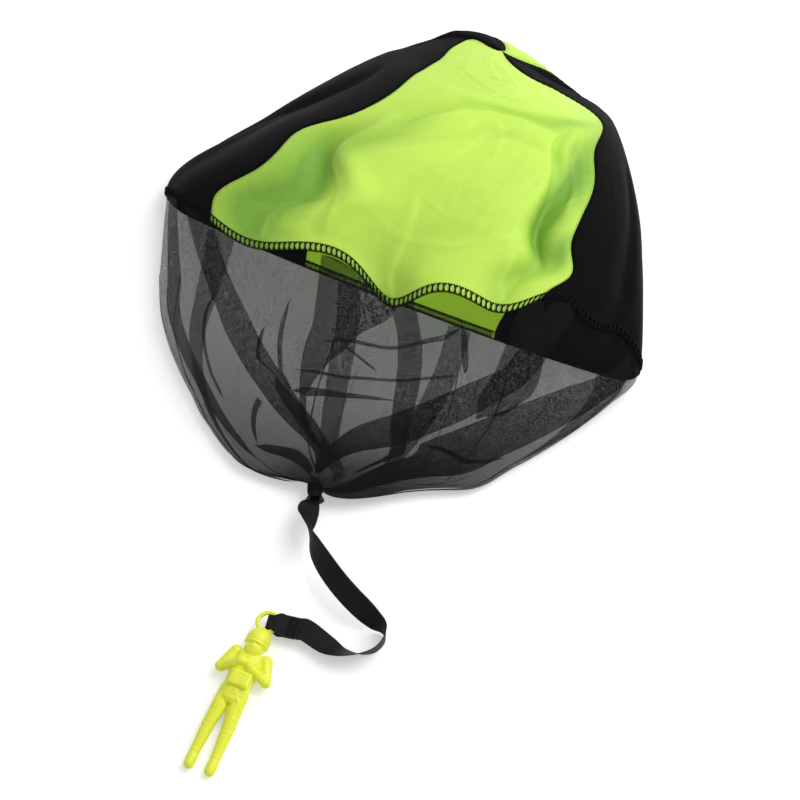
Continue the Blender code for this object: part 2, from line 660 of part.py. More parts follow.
def figure_pieces(material, collection):
    """Head, arms, legs, pack and ring, which the mould makes in one with the torso."""
    head_lift = HEAD_WIDTH / 2 - RING_HEIGHT + 0.05 * HEAD_WIDTH
    chin = (0.0, -HEAD_DISTANCE - HEAD_LENGTH * 0.30, head_lift + HEAD_WIDTH * 0.06)
    pieces = [
        ball("helmet", (0.0, -HEAD_DISTANCE, head_lift), (HEAD_WIDTH, HEAD_LENGTH, HEAD_WIDTH), material, collection),
        ball("face", chin, (FACE_WIDTH, FACE_LENGTH, FACE_WIDTH), material, collection),
        reserve_pack(material, collection),
    ]
    rim = HEAD_WIDTH / 2
    around = np.radians(np.arange(0, 360, 15))
    brim_place = -HEAD_DISTANCE - HEAD_LENGTH * 0.16
    brim = [(rim * 0.96 * math.cos(a), brim_place, head_lift + rim * 0.96 * math.sin(a)) for a in around]
    pieces.append(curve_object("brim", brim, BRIM_RADIUS, material, collection, closed=True, resolution=1))
    ring = [(RING_RADIUS * math.cos(a), RING_RADIUS * math.sin(a), 0.0) for a in np.radians(np.arange(0, 360, 11.25))]
    pieces.append(curve_object("ring", ring, RING_WIRE_RADIUS, material, collection, closed=True))
    for side in (-1, 1):
        shoulder = (side * SHOULDER_SPAN / 2, -SHOULDER_DISTANCE, 0.0)
        elbow = (side * ELBOW_SPAN / 2, -ELBOW_DISTANCE, 0.0)
        hand = (side * HAND_RADIUS, -CHEST_DISTANCE - side * HAND_RADIUS * 0.3, TORSO_DEPTH / 2)
        elbow_size = (2 * ARM_RADIUS, 2 * ARM_RADIUS, 2 * ARM_RADIUS)
        sleeve = (ARM_RADIUS * 1.15, ARM_RADIUS * 0.98)
        pieces += [
            ball("shoulder", shoulder, [2.3 * ARM_RADIUS] * 3, material, collection, 12),
            curve_object("upper_arm", (shoulder, elbow), sleeve, material, collection),
            ball("elbow", elbow, elbow_size, material, collection, 12),
            curve_object("forearm", (elbow, hand), (ARM_RADIUS * 0.95, HAND_RADIUS), material, collection),
            ball("hand", hand, [2.1 * HAND_RADIUS] * 3, material, collection, 12),
        ]
        floor = -RING_HEIGHT
        half_spread = LEG_SPREAD / 2
        sole = floor + BOOT_RADIUS
        leg = (
            (side * HIP_RADIUS * 0.90, -CROTCH_DISTANCE + HIP_RADIUS * 1.5, floor + HIP_RADIUS * 1.25),
            (side * HIP_RADIUS * 0.98, -CROTCH_DISTANCE - HIP_RADIUS * 0.5, floor + HIP_RADIUS * 1.15),
            (side * half_spread * 0.92, -KNEE_DISTANCE, floor + KNEE_RADIUS * 1.20),
            (side * half_spread, -SOLE_DISTANCE + BOOT_RADIUS * 3.0, floor + ANKLE_RADIUS * 1.15),
            (side * half_spread, -SOLE_DISTANCE + BOOT_RADIUS * 2.0, sole),
            (side * half_spread, -SOLE_DISTANCE + BOOT_RADIUS * 0.7, sole),
            (side * half_spread, -SOLE_DISTANCE + BOOT_RADIUS * 0.2, sole),
            (side * half_spread, -SOLE_DISTANCE, sole),
        )
        girths = (
            HIP_RADIUS,
            HIP_RADIUS * 0.98,
            KNEE_RADIUS,
            ANKLE_RADIUS,
            BOOT_RADIUS,
            BOOT_RADIUS * 0.97,
            BOOT_RADIUS * 0.75,
            BOOT_RADIUS * 0.40,
        )
        pieces.append(curve_object("leg", leg, girths, material, collection, resolution=3))
    return pieces


def weld(mesh):
    """Merges points closer than a thousandth of a millimetre and splits faces into triangles."""
    work = bmesh.new()
    work.from_mesh(mesh)
    bmesh.ops.remove_doubles(work, verts=work.verts, dist=WELD_DISTANCE)
    bmesh.ops.dissolve_degenerate(work, edges=work.edges, dist=WELD_DISTANCE)
    bmesh.ops.triangulate(work, faces=work.faces)
    work.to_mesh(mesh)
    work.free()


def figure(material, collection):
    """The one-piece moulded figure, with its origin at the centre of its ring."""
    body = torso(material, collection)
    weld(body.data)
    for piece in figure_pieces(material, collection):
        weld(piece.data)
        union = body.modifiers.new("Join", "BOOLEAN")
        union.operation = "UNION"
        union.solver = "EXACT"
        union.object = piece
        graph = bpy.context.evaluated_depsgraph_get()
        joined = bpy.data.meshes.new_from_object(body.evaluated_get(graph))
        body.modifiers.clear()
        body.data = joined
        weld(joined)
        bpy.data.objects.remove(piece, do_unlink=True)
    body.data.name = "figure"
    body.data.shade_smooth()
    body.data.set_sharp_from_angle(angle=math.radians(40))
    body.matrix_world = Matrix.Translation((RING_X, RING_Y, RING_HEIGHT)) @ Matrix.Rotation(FIGURE_TURN, 4, "Z")
    return body


def on_axis(name, place, pieces, collection):
    """Hangs pieces on an empty that stands on the axis they turn about."""
    empty = bpy.data.objects.new(name, None)
    empty.location = place
    collection.objects.link(empty)
    bpy.context.view_layer.update()
    for piece in pieces:
        piece.parent = empty
        piece.matrix_parent_inverse = empty.matrix_world.inverted()


def main():
    """Builds the toy parachute."""
    clear_scene()
    parts = new_collection("toy_parachute")
    lime = new_material("Lime nylon", LIME, 0.45)
    black = new_material("Black nylon", BLACK, 0.55)
    net = new_material("Black net", NET_GREY, 0.70)
    thread = new_material("Overlock thread", THREAD_GREEN, 0.80)
    satin = new_material("Black ribbon", BLACK, 0.40)
    plastic = new_material("Moulded yellow plastic", FIGURE_YELLOW, 0.35)
    sides = ("top", "right", "bottom", "left")
    for panel, side in enumerate(sides):
        cloth = lime if side in ("top", "bottom") else black
        columns = 24 if side == "top" else 12
        gore("canopy_gore_" + side, panel, columns, 24, cloth, parts)
        hem("hem_" + side, panel, columns, thread, parts)
        net_panel("skirt_net_" + side, panel, columns, 12, net, parts)
    binding(thread, parts)
    ribbon_root(satin, parts)
    lift = np.array([0.0, 0.0, RIBBON_THICKNESS / 2])
    _, _, exit_direction = neck_frame()
    swing = ribbon_start_point() - exit_direction * RIBBON_GAP / 2 + lift
    on_axis("ribbon_swing", swing, [ribbon(satin, parts)], parts)
    sewn_end = [ribbon_eye(satin, parts), eye_stitching(thread, parts)]
    on_axis("ribbon_bend", ribbon_end_point() + lift, sewn_end, parts)
    on_axis("figure_turn", (RING_X, RING_Y, RING_HEIGHT), [figure(plastic, parts)], parts)
    print("ribbon_swing at", np.round(swing, 5), "ribbon_bend at", np.round(ribbon_end_point() + lift, 5))


main()
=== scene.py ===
"""Looks of the toy parachute: nylon canopy, gathered net skirt, ribbon and moulded figure."""

import math

import bmesh
import bpy
import numpy as np
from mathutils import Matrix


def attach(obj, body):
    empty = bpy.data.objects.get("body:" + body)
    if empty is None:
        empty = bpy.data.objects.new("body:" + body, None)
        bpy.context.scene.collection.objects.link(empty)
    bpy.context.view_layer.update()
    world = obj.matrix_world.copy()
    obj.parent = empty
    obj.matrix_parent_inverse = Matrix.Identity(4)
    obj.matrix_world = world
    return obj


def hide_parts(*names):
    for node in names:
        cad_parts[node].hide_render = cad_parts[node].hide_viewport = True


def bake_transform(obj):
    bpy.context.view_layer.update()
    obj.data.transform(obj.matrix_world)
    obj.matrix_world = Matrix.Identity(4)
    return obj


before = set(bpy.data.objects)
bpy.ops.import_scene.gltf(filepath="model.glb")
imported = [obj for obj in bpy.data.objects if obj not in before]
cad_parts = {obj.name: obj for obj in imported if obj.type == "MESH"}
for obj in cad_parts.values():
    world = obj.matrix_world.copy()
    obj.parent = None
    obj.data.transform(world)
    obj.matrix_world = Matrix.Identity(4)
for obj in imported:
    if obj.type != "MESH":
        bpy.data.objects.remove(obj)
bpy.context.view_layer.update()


# Table top and light. The toy lies on a plain white table, seen from the front and well above,
# under a large soft lamp at the upper right and a pale room.
VIEW_TARGET = np.array([0.0, -0.112, 0.0])
VIEW_DISTANCE = 1.31
VIEW_ELEVATION = math.radians(60)
VIEW_LENS = 100.0
TABLE_HALF = 4.0
TABLE_WHITE = 0.86
TABLE_GLOW = 0.38
ROOM_LEVEL = 0.44
LAMP_PLACE = np.array([1.05, 0.40, 1.45])
LAMP_SIZE = 1.5
LAMP_WATTS = 24.0


class Flow:
    """A socket of a material's nodes. Python's arithmetic on it adds Math nodes."""

    def __init__(self, tree, socket=None):
        self.tree, self.socket = tree, socket

    def node(self, kind, settings=(), inputs=(), output=0):
        """Adds a node: its settings first, then the values or links of its sockets."""
        made = self.tree.nodes.new("ShaderNode" + kind)
        for name, value in dict(settings).items():
            setattr(made, name, value)
        for name, value in dict(inputs).items():
            if isinstance(value, Flow):
                self.tree.links.new(value.socket, made.inputs[name])
            else:
                made.inputs[name].default_value = value
        return Flow(self.tree, made.outputs[output])

    def math(self, operation, *values):
        """Adds a Math node of this operation on the values."""
        return self.node("Math", {"operation": operation}, dict(enumerate(values)))

    def into(self, **sockets):
        """Links or sets sockets of the material's own shader."""
        shader = self.tree.nodes["Principled BSDF"]
        for name, value in sockets.items():
            socket = shader.inputs[name.replace("_", " ")]
            if isinstance(value, Flow):
                self.tree.links.new(value.socket, socket)
            else:
                socket.default_value = value

    def __add__(self, other):
        return self.math("ADD", self, other)

    def __sub__(self, other):
        return self.math("SUBTRACT", self, other)

    def __rsub__(self, other):
        return self.math("SUBTRACT", other, self)

    def __mul__(self, other):
        return self.math("MULTIPLY", self, other)

    __radd__ = __add__
    __rmul__ = __mul__


def new_finish(name, **sockets):
    """A new material with these values on its shader. Returns it and a flow of its nodes."""
    material = bpy.data.materials.new(name)
    material.use_nodes = True
    flow = Flow(material.node_tree)
    flow.into(**sockets)
    return material, flow


def seen_directly(flow):
    """One for rays from the camera, off gloss or through glass, and zero for those that light."""
    names = ("Is Camera Ray", "Is Glossy Ray", "Is Transmission Ray")
    camera_ray, gloss_ray, glass_ray = (flow.node("LightPath", output=name) for name in names)
    return flow.math("MINIMUM", camera_ray + gloss_ray + glass_ray, 1.0)


lens = bpy.data.cameras.new("camera")
lens.lens, lens.sensor_width, lens.clip_end = VIEW_LENS, 36.0, 20.0
camera = bpy.data.objects.new("camera", lens)
view_back = np.array([0.0, -math.cos(VIEW_ELEVATION), math.sin(VIEW_ELEVATION)])
camera.location = VIEW_TARGET + VIEW_DISTANCE * view_back
camera.rotation_euler = (math.pi / 2 - VIEW_ELEVATION, 0.0, 0.0)
bpy.context.collection.objects.link(camera)
bpy.context.scene.camera = camera
bpy.context.scene.view_settings.view_transform = "Standard"

table_finish, table_flow = new_finish(
    "White table", Base_Color=(TABLE_WHITE,) * 3 + (1.0,), Roughness=0.55, Emission_Strength=1.0
)
table_flow.into(Emission_Color=seen_directly(table_flow) * TABLE_GLOW)
table_mesh = bpy.data.meshes.new("table")
table_ways = ((-1, -1), (1, -1), (1, 1), (-1, 1))
table_corners = [(x * TABLE_HALF, y * TABLE_HALF, 0.0) for x, y in table_ways]
table_mesh.from_pydata(table_corners, [], [(0, 1, 2, 3)])
table_mesh.materials.append(table_finish)
table = bpy.data.objects.new("table", table_mesh)
bpy.context.collection.objects.link(table)

room = bpy.data.worlds.new("Pale room")
room.use_nodes = True
bpy.context.scene.world = room
room_flow = Flow(room.node_tree)
room_light = room.node_tree.nodes["Background"]
room_level = ROOM_LEVEL + (1.0 - ROOM_LEVEL) * seen_directly(room_flow)
room_light.inputs["Color"].default_value = (1.0, 1.0, 1.0, 1.0)
room.node_tree.links.new(room_level.socket, room_light.inputs["Strength"])

lamp_light = bpy.data.lights.new("soft lamp", "AREA")
lamp_light.size, lamp_light.energy = LAMP_SIZE, LAMP_WATTS
lamp = bpy.data.objects.new("soft lamp", lamp_light)
lamp.location = LAMP_PLACE
towards = VIEW_TARGET - LAMP_PLACE
lamp.rotation_euler = (
    math.acos(-towards[2] / np.linalg.norm(towards)),
    0.0,
    math.atan2(-towards[0], towards[1]),
)
bpy.context.collection.objects.link(lamp)


# Canopy. Four gores of thin nylon, lime and black in turn, are sewn edge to edge. The canopy
# lies on its side and collapses into soft folds, so each gore is one curved sheet.
BAG_WIDTH = 0.290
BAG_DEPTH = 0.330
BAG_HEIGHT = 0.078
HEM, NECK, NECK_END, TUFT = 4.0, 8.0, 9.0, 10.0
NECK_X, NECK_Y, NECK_HEIGHT = -0.0485, -0.1730, 0.0094
NECK_RADIUS, NECK_LENGTH = 0.0037, 0.0062
TUFT_RADIUS, TUFT_LENGTH = 0.0054, 0.0042
NYLON_THICKNESS = 0.0002
HEM_WIDTH = 0.0040
HEM_THICKNESS = 0.0009
FOLD_DEPTH = 0.012
PLEAT_DEPTH = 0.0022
PLEATS_A_PANEL = 2
LEFT_X_SHARES = (0.224, 0.103, -0.014, -0.262, -0.499, -0.498, -0.412, -0.293)
LEFT_Y_SHARES = (0.379, 0.447, 0.427, 0.291, 0.097, -0.124, -0.345, -0.492)
RIGHT_X_SHARES = (0.224, 0.350, 0.460, 0.507, 0.487, 0.416, 0.239, 0.110)
RIGHT_Y_SHARES = (0.379, 0.330, 0.258, -0.009, -0.295, -0.358, -0.467, -0.526)
EDGE_SHARES = (0.385, 0.200, 0.140, 0.120, 0.128, 0.115, 0.090, 0.085)
CROWN_SHARES = (0.385, 0.667, 0.846, 1.000, 0.769, 0.590, 0.423, 0.270)
DROP_SHARES = (0.000, 0.020, 0.130, 0.300, 0.320, 0.300, 0.220, 0.100)
BOW_SHARES = (0.000, -0.142, -0.185, -0.155, -0.080, -0.067, -0.018, 0.036)
BELLY_SHARES = (0.000, 0.050, -0.010, -0.024, -0.030, -0.050, -0.027, 0.015)
# Where the four seams cross each station, in degrees round the section from its left edge.
SEAM_DEGREES = (
    (5.0, 16.0, 38.0, 46.0, 39.0, 38.0, 42.0, 44.0, 45.0, 45.0, 45.0),
    (95.0, 162.0, 155.0, 129.5, 123.0, 128.0, 132.0, 134.0, 135.0, 135.0, 135.0),
    (195.0, 212.0, 222.0, 235.0, 246.0, 242.0, 234.0, 226.0, 225.0, 225.0, 225.0),
    (250.0, 278.0, 303.0, 303.0, 293.0, 297.0, 305.0, 313.0, 315.0, 315.0, 315.0),
)
# How far the cloth by the hem slides down the bag: turn, its spread, and stations.
SLIDE_SHARES = ((0.16, 0.22, 0.28), (0.60, 0.10, 0.32), (1.25, 0.17, -0.33), (1.03, 0.085, -0.30))
# Where the two upper seams sway off those places: seam, station, reach in stations, and degrees.
SEAM_SWAYS = (
    (0, 0.45, 0.22, -26.0),
    (0, 1.25, 0.40, 9.0),
    (0, 2.45, 0.35, 4.0),
    (0, 3.12, 0.22, -7.5),
    (0, 3.60, 0.20, 2.5),
    (1, 2.30, 0.30, -11.0),
    (1, 3.45, 0.15, 5.0),
)
SLIDE_REACH_SHARE = 0.9
# Main folds: turn, its spread, station, its spread, and depth as a share of FOLD_DEPTH.
FOLD_SHARES = (
    (0.17, 0.09, 3.45, 0.70, -0.55),
    (0.36, 0.08, 3.30, 0.80, 0.20),
    (0.585, 0.07, 4.35, 0.55, -0.90),
    (0.75, 0.08, 4.10, 0.55, 0.30),
    (0.88, 0.05, 3.30, 0.75, -0.60),
    (1.25, 0.10, 4.10, 0.70, -0.70),
    (3.75, 0.10, 3.20, 0.90, -0.35),
)
# Creases: places (turn, station), width and height as shares of FOLD_DEPTH.
CREASE_SHARES = (
    (
        ((0.10, 2.60), (0.16, 2.95), (0.20, 3.16), (0.28, 3.36), (0.36, 3.62), (0.39, 3.95)),
        0.80,
        0.40,
    ),
    (((0.05, 2.75), (0.10, 3.10), (0.18, 3.40), (0.26, 3.70), (0.30, 4.00)), 0.90, -0.30),
    (
        ((0.13, 2.85), (0.20, 2.50), (0.30, 2.25), (0.42, 2.09))
        + ((0.55, 2.04), (0.70, 2.13), (0.80, 2.25)),
        0.65,
        -0.30,
    ),
    (((0.79, 2.10), (0.78, 2.45), (0.82, 2.75), (0.87, 3.10), (0.89, 3.45)), 0.60, -0.38),
    (((3.55, 3.90), (3.62, 3.40), (3.72, 2.80), (3.80, 2.20)), 0.80, -0.30),
    (((1.18, 3.80), (1.28, 3.20), (1.32, 2.40)), 0.90, -0.25),
)
CREASE_SHARP_SHARE = 0.6
# One turn and one station as lengths of flat cloth, in shares of the bag's width and depth.
TURN_SHARE = 0.69
STATION_SHARE = 0.20
# Finer creases of the top gore: places (turn, station), width and height in millimetres.
TOP_CREASES = (
    (((0.16, 2.95), (0.20, 3.16), (0.28, 3.36), (0.36, 3.62), (0.39, 3.95)), 2.6, 0.8),
    (
        ((0.30, 3.31), (0.44, 3.55), (0.55, 3.49), (0.67, 3.47), (0.77, 3.39), (0.86, 3.20)),
        2.2,
        0.45,
    ),
    (((0.27, 3.38), (0.22, 3.44), (0.17, 3.54), (0.04, 3.70)), 2.4, -0.6),
    (((0.24, 3.30), (0.16, 3.36), (0.06, 3.42)), 2.0, 0.45),
    (((0.98, 2.84), (0.92, 2.92), (0.89, 3.01), (0.87, 3.12)), 1.6, 0.8),
    (((0.87, 3.12), (0.885, 3.30), (0.91, 3.52)), 2.2, -0.9),
    (((0.86, 2.13), (0.875, 2.48), (0.92, 2.83), (0.94, 3.10)), 3.0, 0.9),
    (((0.33, 3.04), (0.36, 2.74), (0.48, 2.47), (0.67, 2.45), (0.76, 2.5)), 6.0, -0.5),
    (((0.60, 4.0), (0.585, 3.75), (0.55, 3.45), (0.50, 3.2)), 4.0, 0.8),
    (((0.90, 3.95), (0.86, 3.7), (0.80, 3.45)), 3.5, 0.6),
    (((0.20, 3.95), (0.215, 3.7), (0.20, 3.5)), 3.0, 0.6),
    (((0.62, 0.6), (0.58, 1.0), (0.45, 1.5)), 3.0, 0.5),
    (((0.85, 0.7), (0.80, 1.2), (0.72, 1.7)), 3.0, 0.5),
)
# Where the gores lie in the shade of their folds: turn, its spread, station, its spread, depth.
TOP_SHADES = (
    (0.06, 0.13, 3.45, 0.60, 0.50),
    (0.20, 0.09, 3.05, 0.40, 0.35),
    (0.17, 0.12, 3.85, 0.35, 0.50),
    (0.895, 0.045, 2.75, 0.50, 0.95),
    (0.970, 0.045, 2.50, 0.55, 0.70),
    (0.760, 0.150, 1.93, 0.16, 0.55),
    (0.965, 0.040, 3.45, 0.16, 0.75),
)
# Painted shade of the folds: tone of flat cloth, and the height of a crease and of a fold that
# would take it from 0 to 1.
FLAT_TONE = 0.92
CREASE_TONE_HEIGHT = 0.004
FOLD_TONE_HEIGHT = 0.014
SEAM_DIP = 0.0007
SEAM_DIP_WIDTH = 0.0016
# Width of the seam allowance, which keeps out the creases and puckers between its stitches.
SEAM_ALLOWANCE = 0.004
SEAM_STITCH_PITCH = 0.0024
SEAM_STITCH_SHARE = 0.68
SEAM_STITCH_INSET = 0.0016
SEAM_STITCH_HALF_WIDTH = 0.00022
SEAM_THREAD_TINT = (0.30, 0.34, 0.16, 1.0)
PUCKER_PITCH = 0.0042
PUCKER_HEIGHT = 0.00012
PUCKER_INSET = 0.003
GORE_ROWS, GORE_COLUMNS, TOP_GORE_COLUMNS = 170, 130, 190
GORE_SEED = 11
WRINKLES_A_GORE = 34
GORE_WRINKLE_HEIGHTS = (0.00010, 0.00045)
WRINKLE_WIDTHS = (0.0012, 0.0036)
LEAST_WRINKLE = 0.006
WEAVE_PITCH = 0.00045
# Lime as lit, and its painted shade colour for the valleys of folds.
LIME_LIGHT = (0.65, 0.96, 0.125, 1.0)
LIME_SHADE = (0.21, 0.44, 0.05, 1.0)
# Painted glow of the bottom gore, for the light that comes through the top gore: its colour and
# strength.
LIME_LIT_THROUGH = (0.38, 0.60, 0.035, 1.0)
LIT_THROUGH_LEVEL = 0.7
# Black nylon: painted shade colour for the valleys of folds, then its lit colour on flat cloth and
# ridges.
NYLON_BLACK_SHADE = (0.0022, 0.0022, 0.0026, 1.0)
NYLON_BLACK_LIT = (0.0045, 0.0045, 0.0050, 1.0)


def steady(values, at):
    """Reads a cubic through evenly spaced values that never swings past them.

    The slope at a value is the harmonic mean of the steps on its two sides, or zero where they
    go opposite ways.
    """
    values = np.asarray(values, float)
    steps = np.diff(values)
    same_way = steps[:-1] * steps[1:] > 0
    both = np.where(same_way, steps[:-1] + steps[1:], 1)
    inner = np.where(same_way, 2 * steps[:-1] * steps[1:] / both, 0)
    slopes = np.concatenate([steps[:1], inner, steps[-1:]])
    first = np.clip(np.floor(at).astype(int), 0, len(values) - 2)
    share = at - first
    rise = share * share * (3 - 2 * share)
    return (
        values[first] * (1 - rise)
        + values[first + 1] * rise
        + share * (1 - share) * (slopes[first] * (1 - share) - slopes[first + 1] * share)
    )


def section_angle(turn, along):
    """Quarter panels, counted from the left upper seam, as radians round the section."""
    seams = [steady(degrees, along) for degrees in SEAM_DEGREES]
    for seam, station, reach, degrees in SEAM_SWAYS:
        seams[seam] = seams[seam] + degrees * bell((along - station) / reach)
    seams.append(seams[0] + 360.0)
    panel = np.clip(np.floor(turn % 4.0), 0, 3)
    share = turn % 4.0 - panel
    between = [seams[side] * (1 - share) + seams[side + 1] * share for side in range(4)]
    return np.radians(sum(np.where(panel == side, between[side], 0.0) for side in range(4)))


def bag_stations():
    """Left and right folds, edge and crown heights, drop, bow and belly at each station."""
    radii = np.array([NECK_RADIUS, NECK_RADIUS, TUFT_RADIUS])
    down = NECK_Y - np.array([0.0, NECK_LENGTH, NECK_LENGTH + TUFT_LENGTH])
    none = np.zeros(3)
    return (
        np.append(BAG_WIDTH * np.array(LEFT_X_SHARES), NECK_X - radii),
        np.append(BAG_DEPTH * np.array(LEFT_Y_SHARES), down),
        np.append(BAG_WIDTH * np.array(RIGHT_X_SHARES), NECK_X + radii),
        np.append(BAG_DEPTH * np.array(RIGHT_Y_SHARES), down),
        np.append(BAG_HEIGHT * np.array(EDGE_SHARES), NECK_HEIGHT + none),
        np.append(BAG_HEIGHT * np.array(CROWN_SHARES), NECK_HEIGHT + radii),
        np.append(BAG_HEIGHT * np.array(DROP_SHARES), radii),
        np.append(BAG_DEPTH * np.array(BOW_SHARES), none),
        np.append(BAG_DEPTH * np.array(BELLY_SHARES), none),
    )


def bell(value):
    """One at zero, falling away smoothly on both sides: e to the minus of the square."""
    return np.exp(-(value**2))


def ramp(value):
    """Zero below 0, one above 1, and a smooth rise between."""
    value = np.clip(value, 0, 1)
    return value * value * (3 - 2 * value)


def turn_apart(turn, at):
    """Quarter panels from `at` to `turn`, the shorter way round."""
    return (turn - at + 2) % 4 - 2


def route_bell(route, scale, offset_from, side_of, widths):
    """A bell over the distance from points to a poly line, which dies away to both its ends.

    `offset_from` gives the points' offsets from a corner of the line, and `side_of` is positive
    on the side where the bell has the first of the two widths.
    """
    nearest, side, share = np.inf, 0.0, 0.0
    for number, (start, end) in enumerate(zip(route[:-1], route[1:])):
        chord, off = (np.array(end) - start) * scale, offset_from(start) * scale
        at = np.clip(off @ chord / (chord @ chord), 0, 1)
        away = off - at[..., None] * chord
        distance = np.linalg.norm(away, axis=-1)
        closer = distance < nearest
        nearest = np.where(closer, distance, nearest)
        side = np.where(closer, side_of(chord, away), side)
        share = np.where(closer, (number + at) / (len(route) - 1), share)
    return bell(nearest / np.where(side > 0, *widths)) * (1 - (2 * share - 1) ** 4)


def crease_push(turn, along):
    """Height of the creases, with distances taken on the cloth as if it were flat."""
    flat = np.array([BAG_WIDTH * TURN_SHARE, BAG_DEPTH * STATION_SHARE])
    total = np.zeros(turn.shape)
    for route, width, height in CREASE_SHARES:
        total += height * route_bell(
            route,
            flat,
            lambda corner: np.stack([turn_apart(turn, corner[0]), along - corner[1]], -1),
            lambda chord, away: chord[0] * away[..., 1] - chord[1] * away[..., 0],
            (FOLD_DEPTH * width * CREASE_SHARP_SHARE, FOLD_DEPTH * width),
        )
    return total


def fold_push(turn, along):
    """How far the folds and creases move the cloth along its normal, in metres."""
    folds = sum(
        depth * bell(turn_apart(turn, at) / spread) * bell((along - station) / reach)
        for at, spread, station, reach, depth in FOLD_SHARES
    )
    return FOLD_DEPTH * (folds + crease_push(turn, along))


def bag(turn, along, lowest=NYLON_THICKNESS):
    """The cloth at quarter panels `turn` and stations `along`, nowhere lower than `lowest`.

    A section is a half ellipse up to the crown over one that is pressed flat on the table. The
    folds' bells, the creases and the skirt's pleats move it along the section's own normal.
    """
    turn, along = np.broadcast_arrays(np.asarray(turn, float), np.asarray(along, float))
    slide = sum(
        stations * bell(turn_apart(turn, at) / spread) for at, spread, stations in SLIDE_SHARES
    )
    along = along + slide * bell((along - HEM) / SLIDE_REACH_SHARE)
    angle = section_angle(turn, along)
    across, rise = -np.cos(angle), np.sin(angle)
    upper, lower = np.maximum(rise, 0.0), np.maximum(-rise, 0.0)
    left_x, left_y, right_x, right_y, edge, crown, drop, bow, belly = (
        steady(values, along) for values in bag_stations()
    )
    left, right = np.stack([left_x, left_y], -1), np.stack([right_x, right_y], -1)
    half = (right - left) / 2
    width = np.linalg.norm(half, axis=-1)
    plan = (left + right) / 2 + half * across[..., None]
    arch = crown - edge
    height = edge + arch * upper - drop * lower
    normal = np.stack([across * np.where(rise > 0, arch, drop), rise * width], -1)
    normal /= np.maximum(np.linalg.norm(normal, axis=-1, keepdims=True), 1e-9)
    pleated = np.clip((along - HEM) / 1.5, 0.0, 1.0) * np.clip((NECK - along) / 1.5, 0.0, 1.0)
    pleats_round = np.cos(2 * math.pi * PLEATS_A_PANEL * turn)
    push = fold_push(turn, along) + PLEAT_DEPTH * pleated * pleats_round
    chord = half / np.maximum(width, 1e-9)[..., None]
    x = plan[..., 0] + chord[..., 0] * normal[..., 0] * push
    y = plan[..., 1] + chord[..., 1] * normal[..., 0] * push + bow * upper + belly * lower
    return np.stack([x, y, np.maximum(height + normal[..., 1] * push, lowest)], -1)


def unit(vectors):
    """The vectors, each divided by its length."""
    return vectors / np.maximum(np.linalg.norm(vectors, axis=-1, keepdims=True), 1e-12)


def bag_normal(turn, along):
    """The cloth's outward unit normal: the cross product of the steps down the bag and round it.

    Where those two steps vanish it points down.
    """
    step = 0.004
    round_it = bag(turn + step, along) - bag(turn - step, along)
    down_it = bag(turn, along + step) - bag(turn, along - step)
    normal = np.cross(down_it, round_it)
    normal[..., 2] -= 1e-12
    return unit(normal)


def down_from(turn, along, distance):
    """The station that lies this distance in metres down the cloth from another."""
    step = 0.01
    down_it = np.linalg.norm(bag(turn, along + step) - bag(turn, along), axis=-1) / step
    return along + distance / np.maximum(down_it, 1e-6)


def unit_normals(points):
    """Unit normals of a grid of points, from the cross product of its two gradients."""
    return unit(np.cross(np.gradient(points, axis=0), np.gradient(points, axis=1)))


def lengths(points, axis):
    """Running length in metres down one axis of a grid of points."""
    steps = np.linalg.norm(np.diff(points, axis=axis), axis=-1)
    start = np.zeros_like(np.take(steps, [0], axis=axis))
    return np.cumsum(np.concatenate([start, steps], axis=axis), axis=axis)


def crease_height(points, normals, route, width, height):
    """Height of one crease: a bell that is half as wide on one side, as on pressed cloth."""
    return height * route_bell(
        route,
        1.0,
        lambda corner: points - corner,
        lambda chord, away: (np.cross(chord, away) * normals).sum(-1),
        (width, width / 2),
    )


def wrinkles(points, normals, random, count, heights):
    """Fine curved creases, scattered over the cloth by a seeded random source."""
    rows, columns = points.shape[:2]
    total = np.zeros((rows, columns))
    for _ in range(count):
        row, column = random.uniform(0.06, 0.92) * rows, random.uniform(0.05, 0.95) * columns
        heading, reach = random.uniform(0, math.pi), random.uniform(0.06, 0.22)
        bend = random.uniform(-0.4, 0.4)
        shares = np.linspace(-1, 1, 5)
        route_rows = row + reach * rows * (shares * math.sin(heading) + bend * shares**2)
        route_columns = column + reach * columns * (shares * math.cos(heading) - bend * shares**2)
        inside = (
            np.clip(route_rows, 1, rows - 2).astype(int),
            np.clip(route_columns, 1, columns - 2).astype(int),
        )
        route = points[inside]
        if np.linalg.norm(route[0] - route[-1]) > LEAST_WRINKLE:
            width, height = random.uniform(*WRINKLE_WIDTHS), random.uniform(*heights)
            total += crease_height(points, normals, route, width, height * random.choice([-1, 1]))
    return total


def add_piece(name, points, finish, across, down, closed=False, attributes=()):
    """A smooth mesh of a grid of points, with its UV map in metres and values at its points."""
    rows, columns = points.shape[:2]
    index = np.arange(rows * columns).reshape(rows, columns)
    if closed:
        index = np.concatenate([index, index[:, :1]], axis=1)
    corners = index[:-1, :-1], index[1:, :-1], index[1:, 1:], index[:-1, 1:]
    faces = np.stack(corners, axis=-1).reshape(-1, 4)
    mesh = bpy.data.meshes.new(name)
    mesh.from_pydata(points.reshape(-1, 3).tolist(), [], faces.tolist())
    flat = np.stack([across.reshape(-1), down.reshape(-1)], -1)[faces.reshape(-1)]
    mesh.uv_layers.new(name="Cloth").data.foreach_set("uv", flat.reshape(-1))
    for label, values in dict(attributes).items():
        carrier = mesh.attributes.new(label, "FLOAT", "POINT")
        carrier.data.foreach_set("value", values.reshape(-1))
    mesh.shade_smooth()
    mesh.materials.append(finish)
    piece = bpy.data.objects.new(name, mesh)
    bpy.context.collection.objects.link(piece)
    return piece


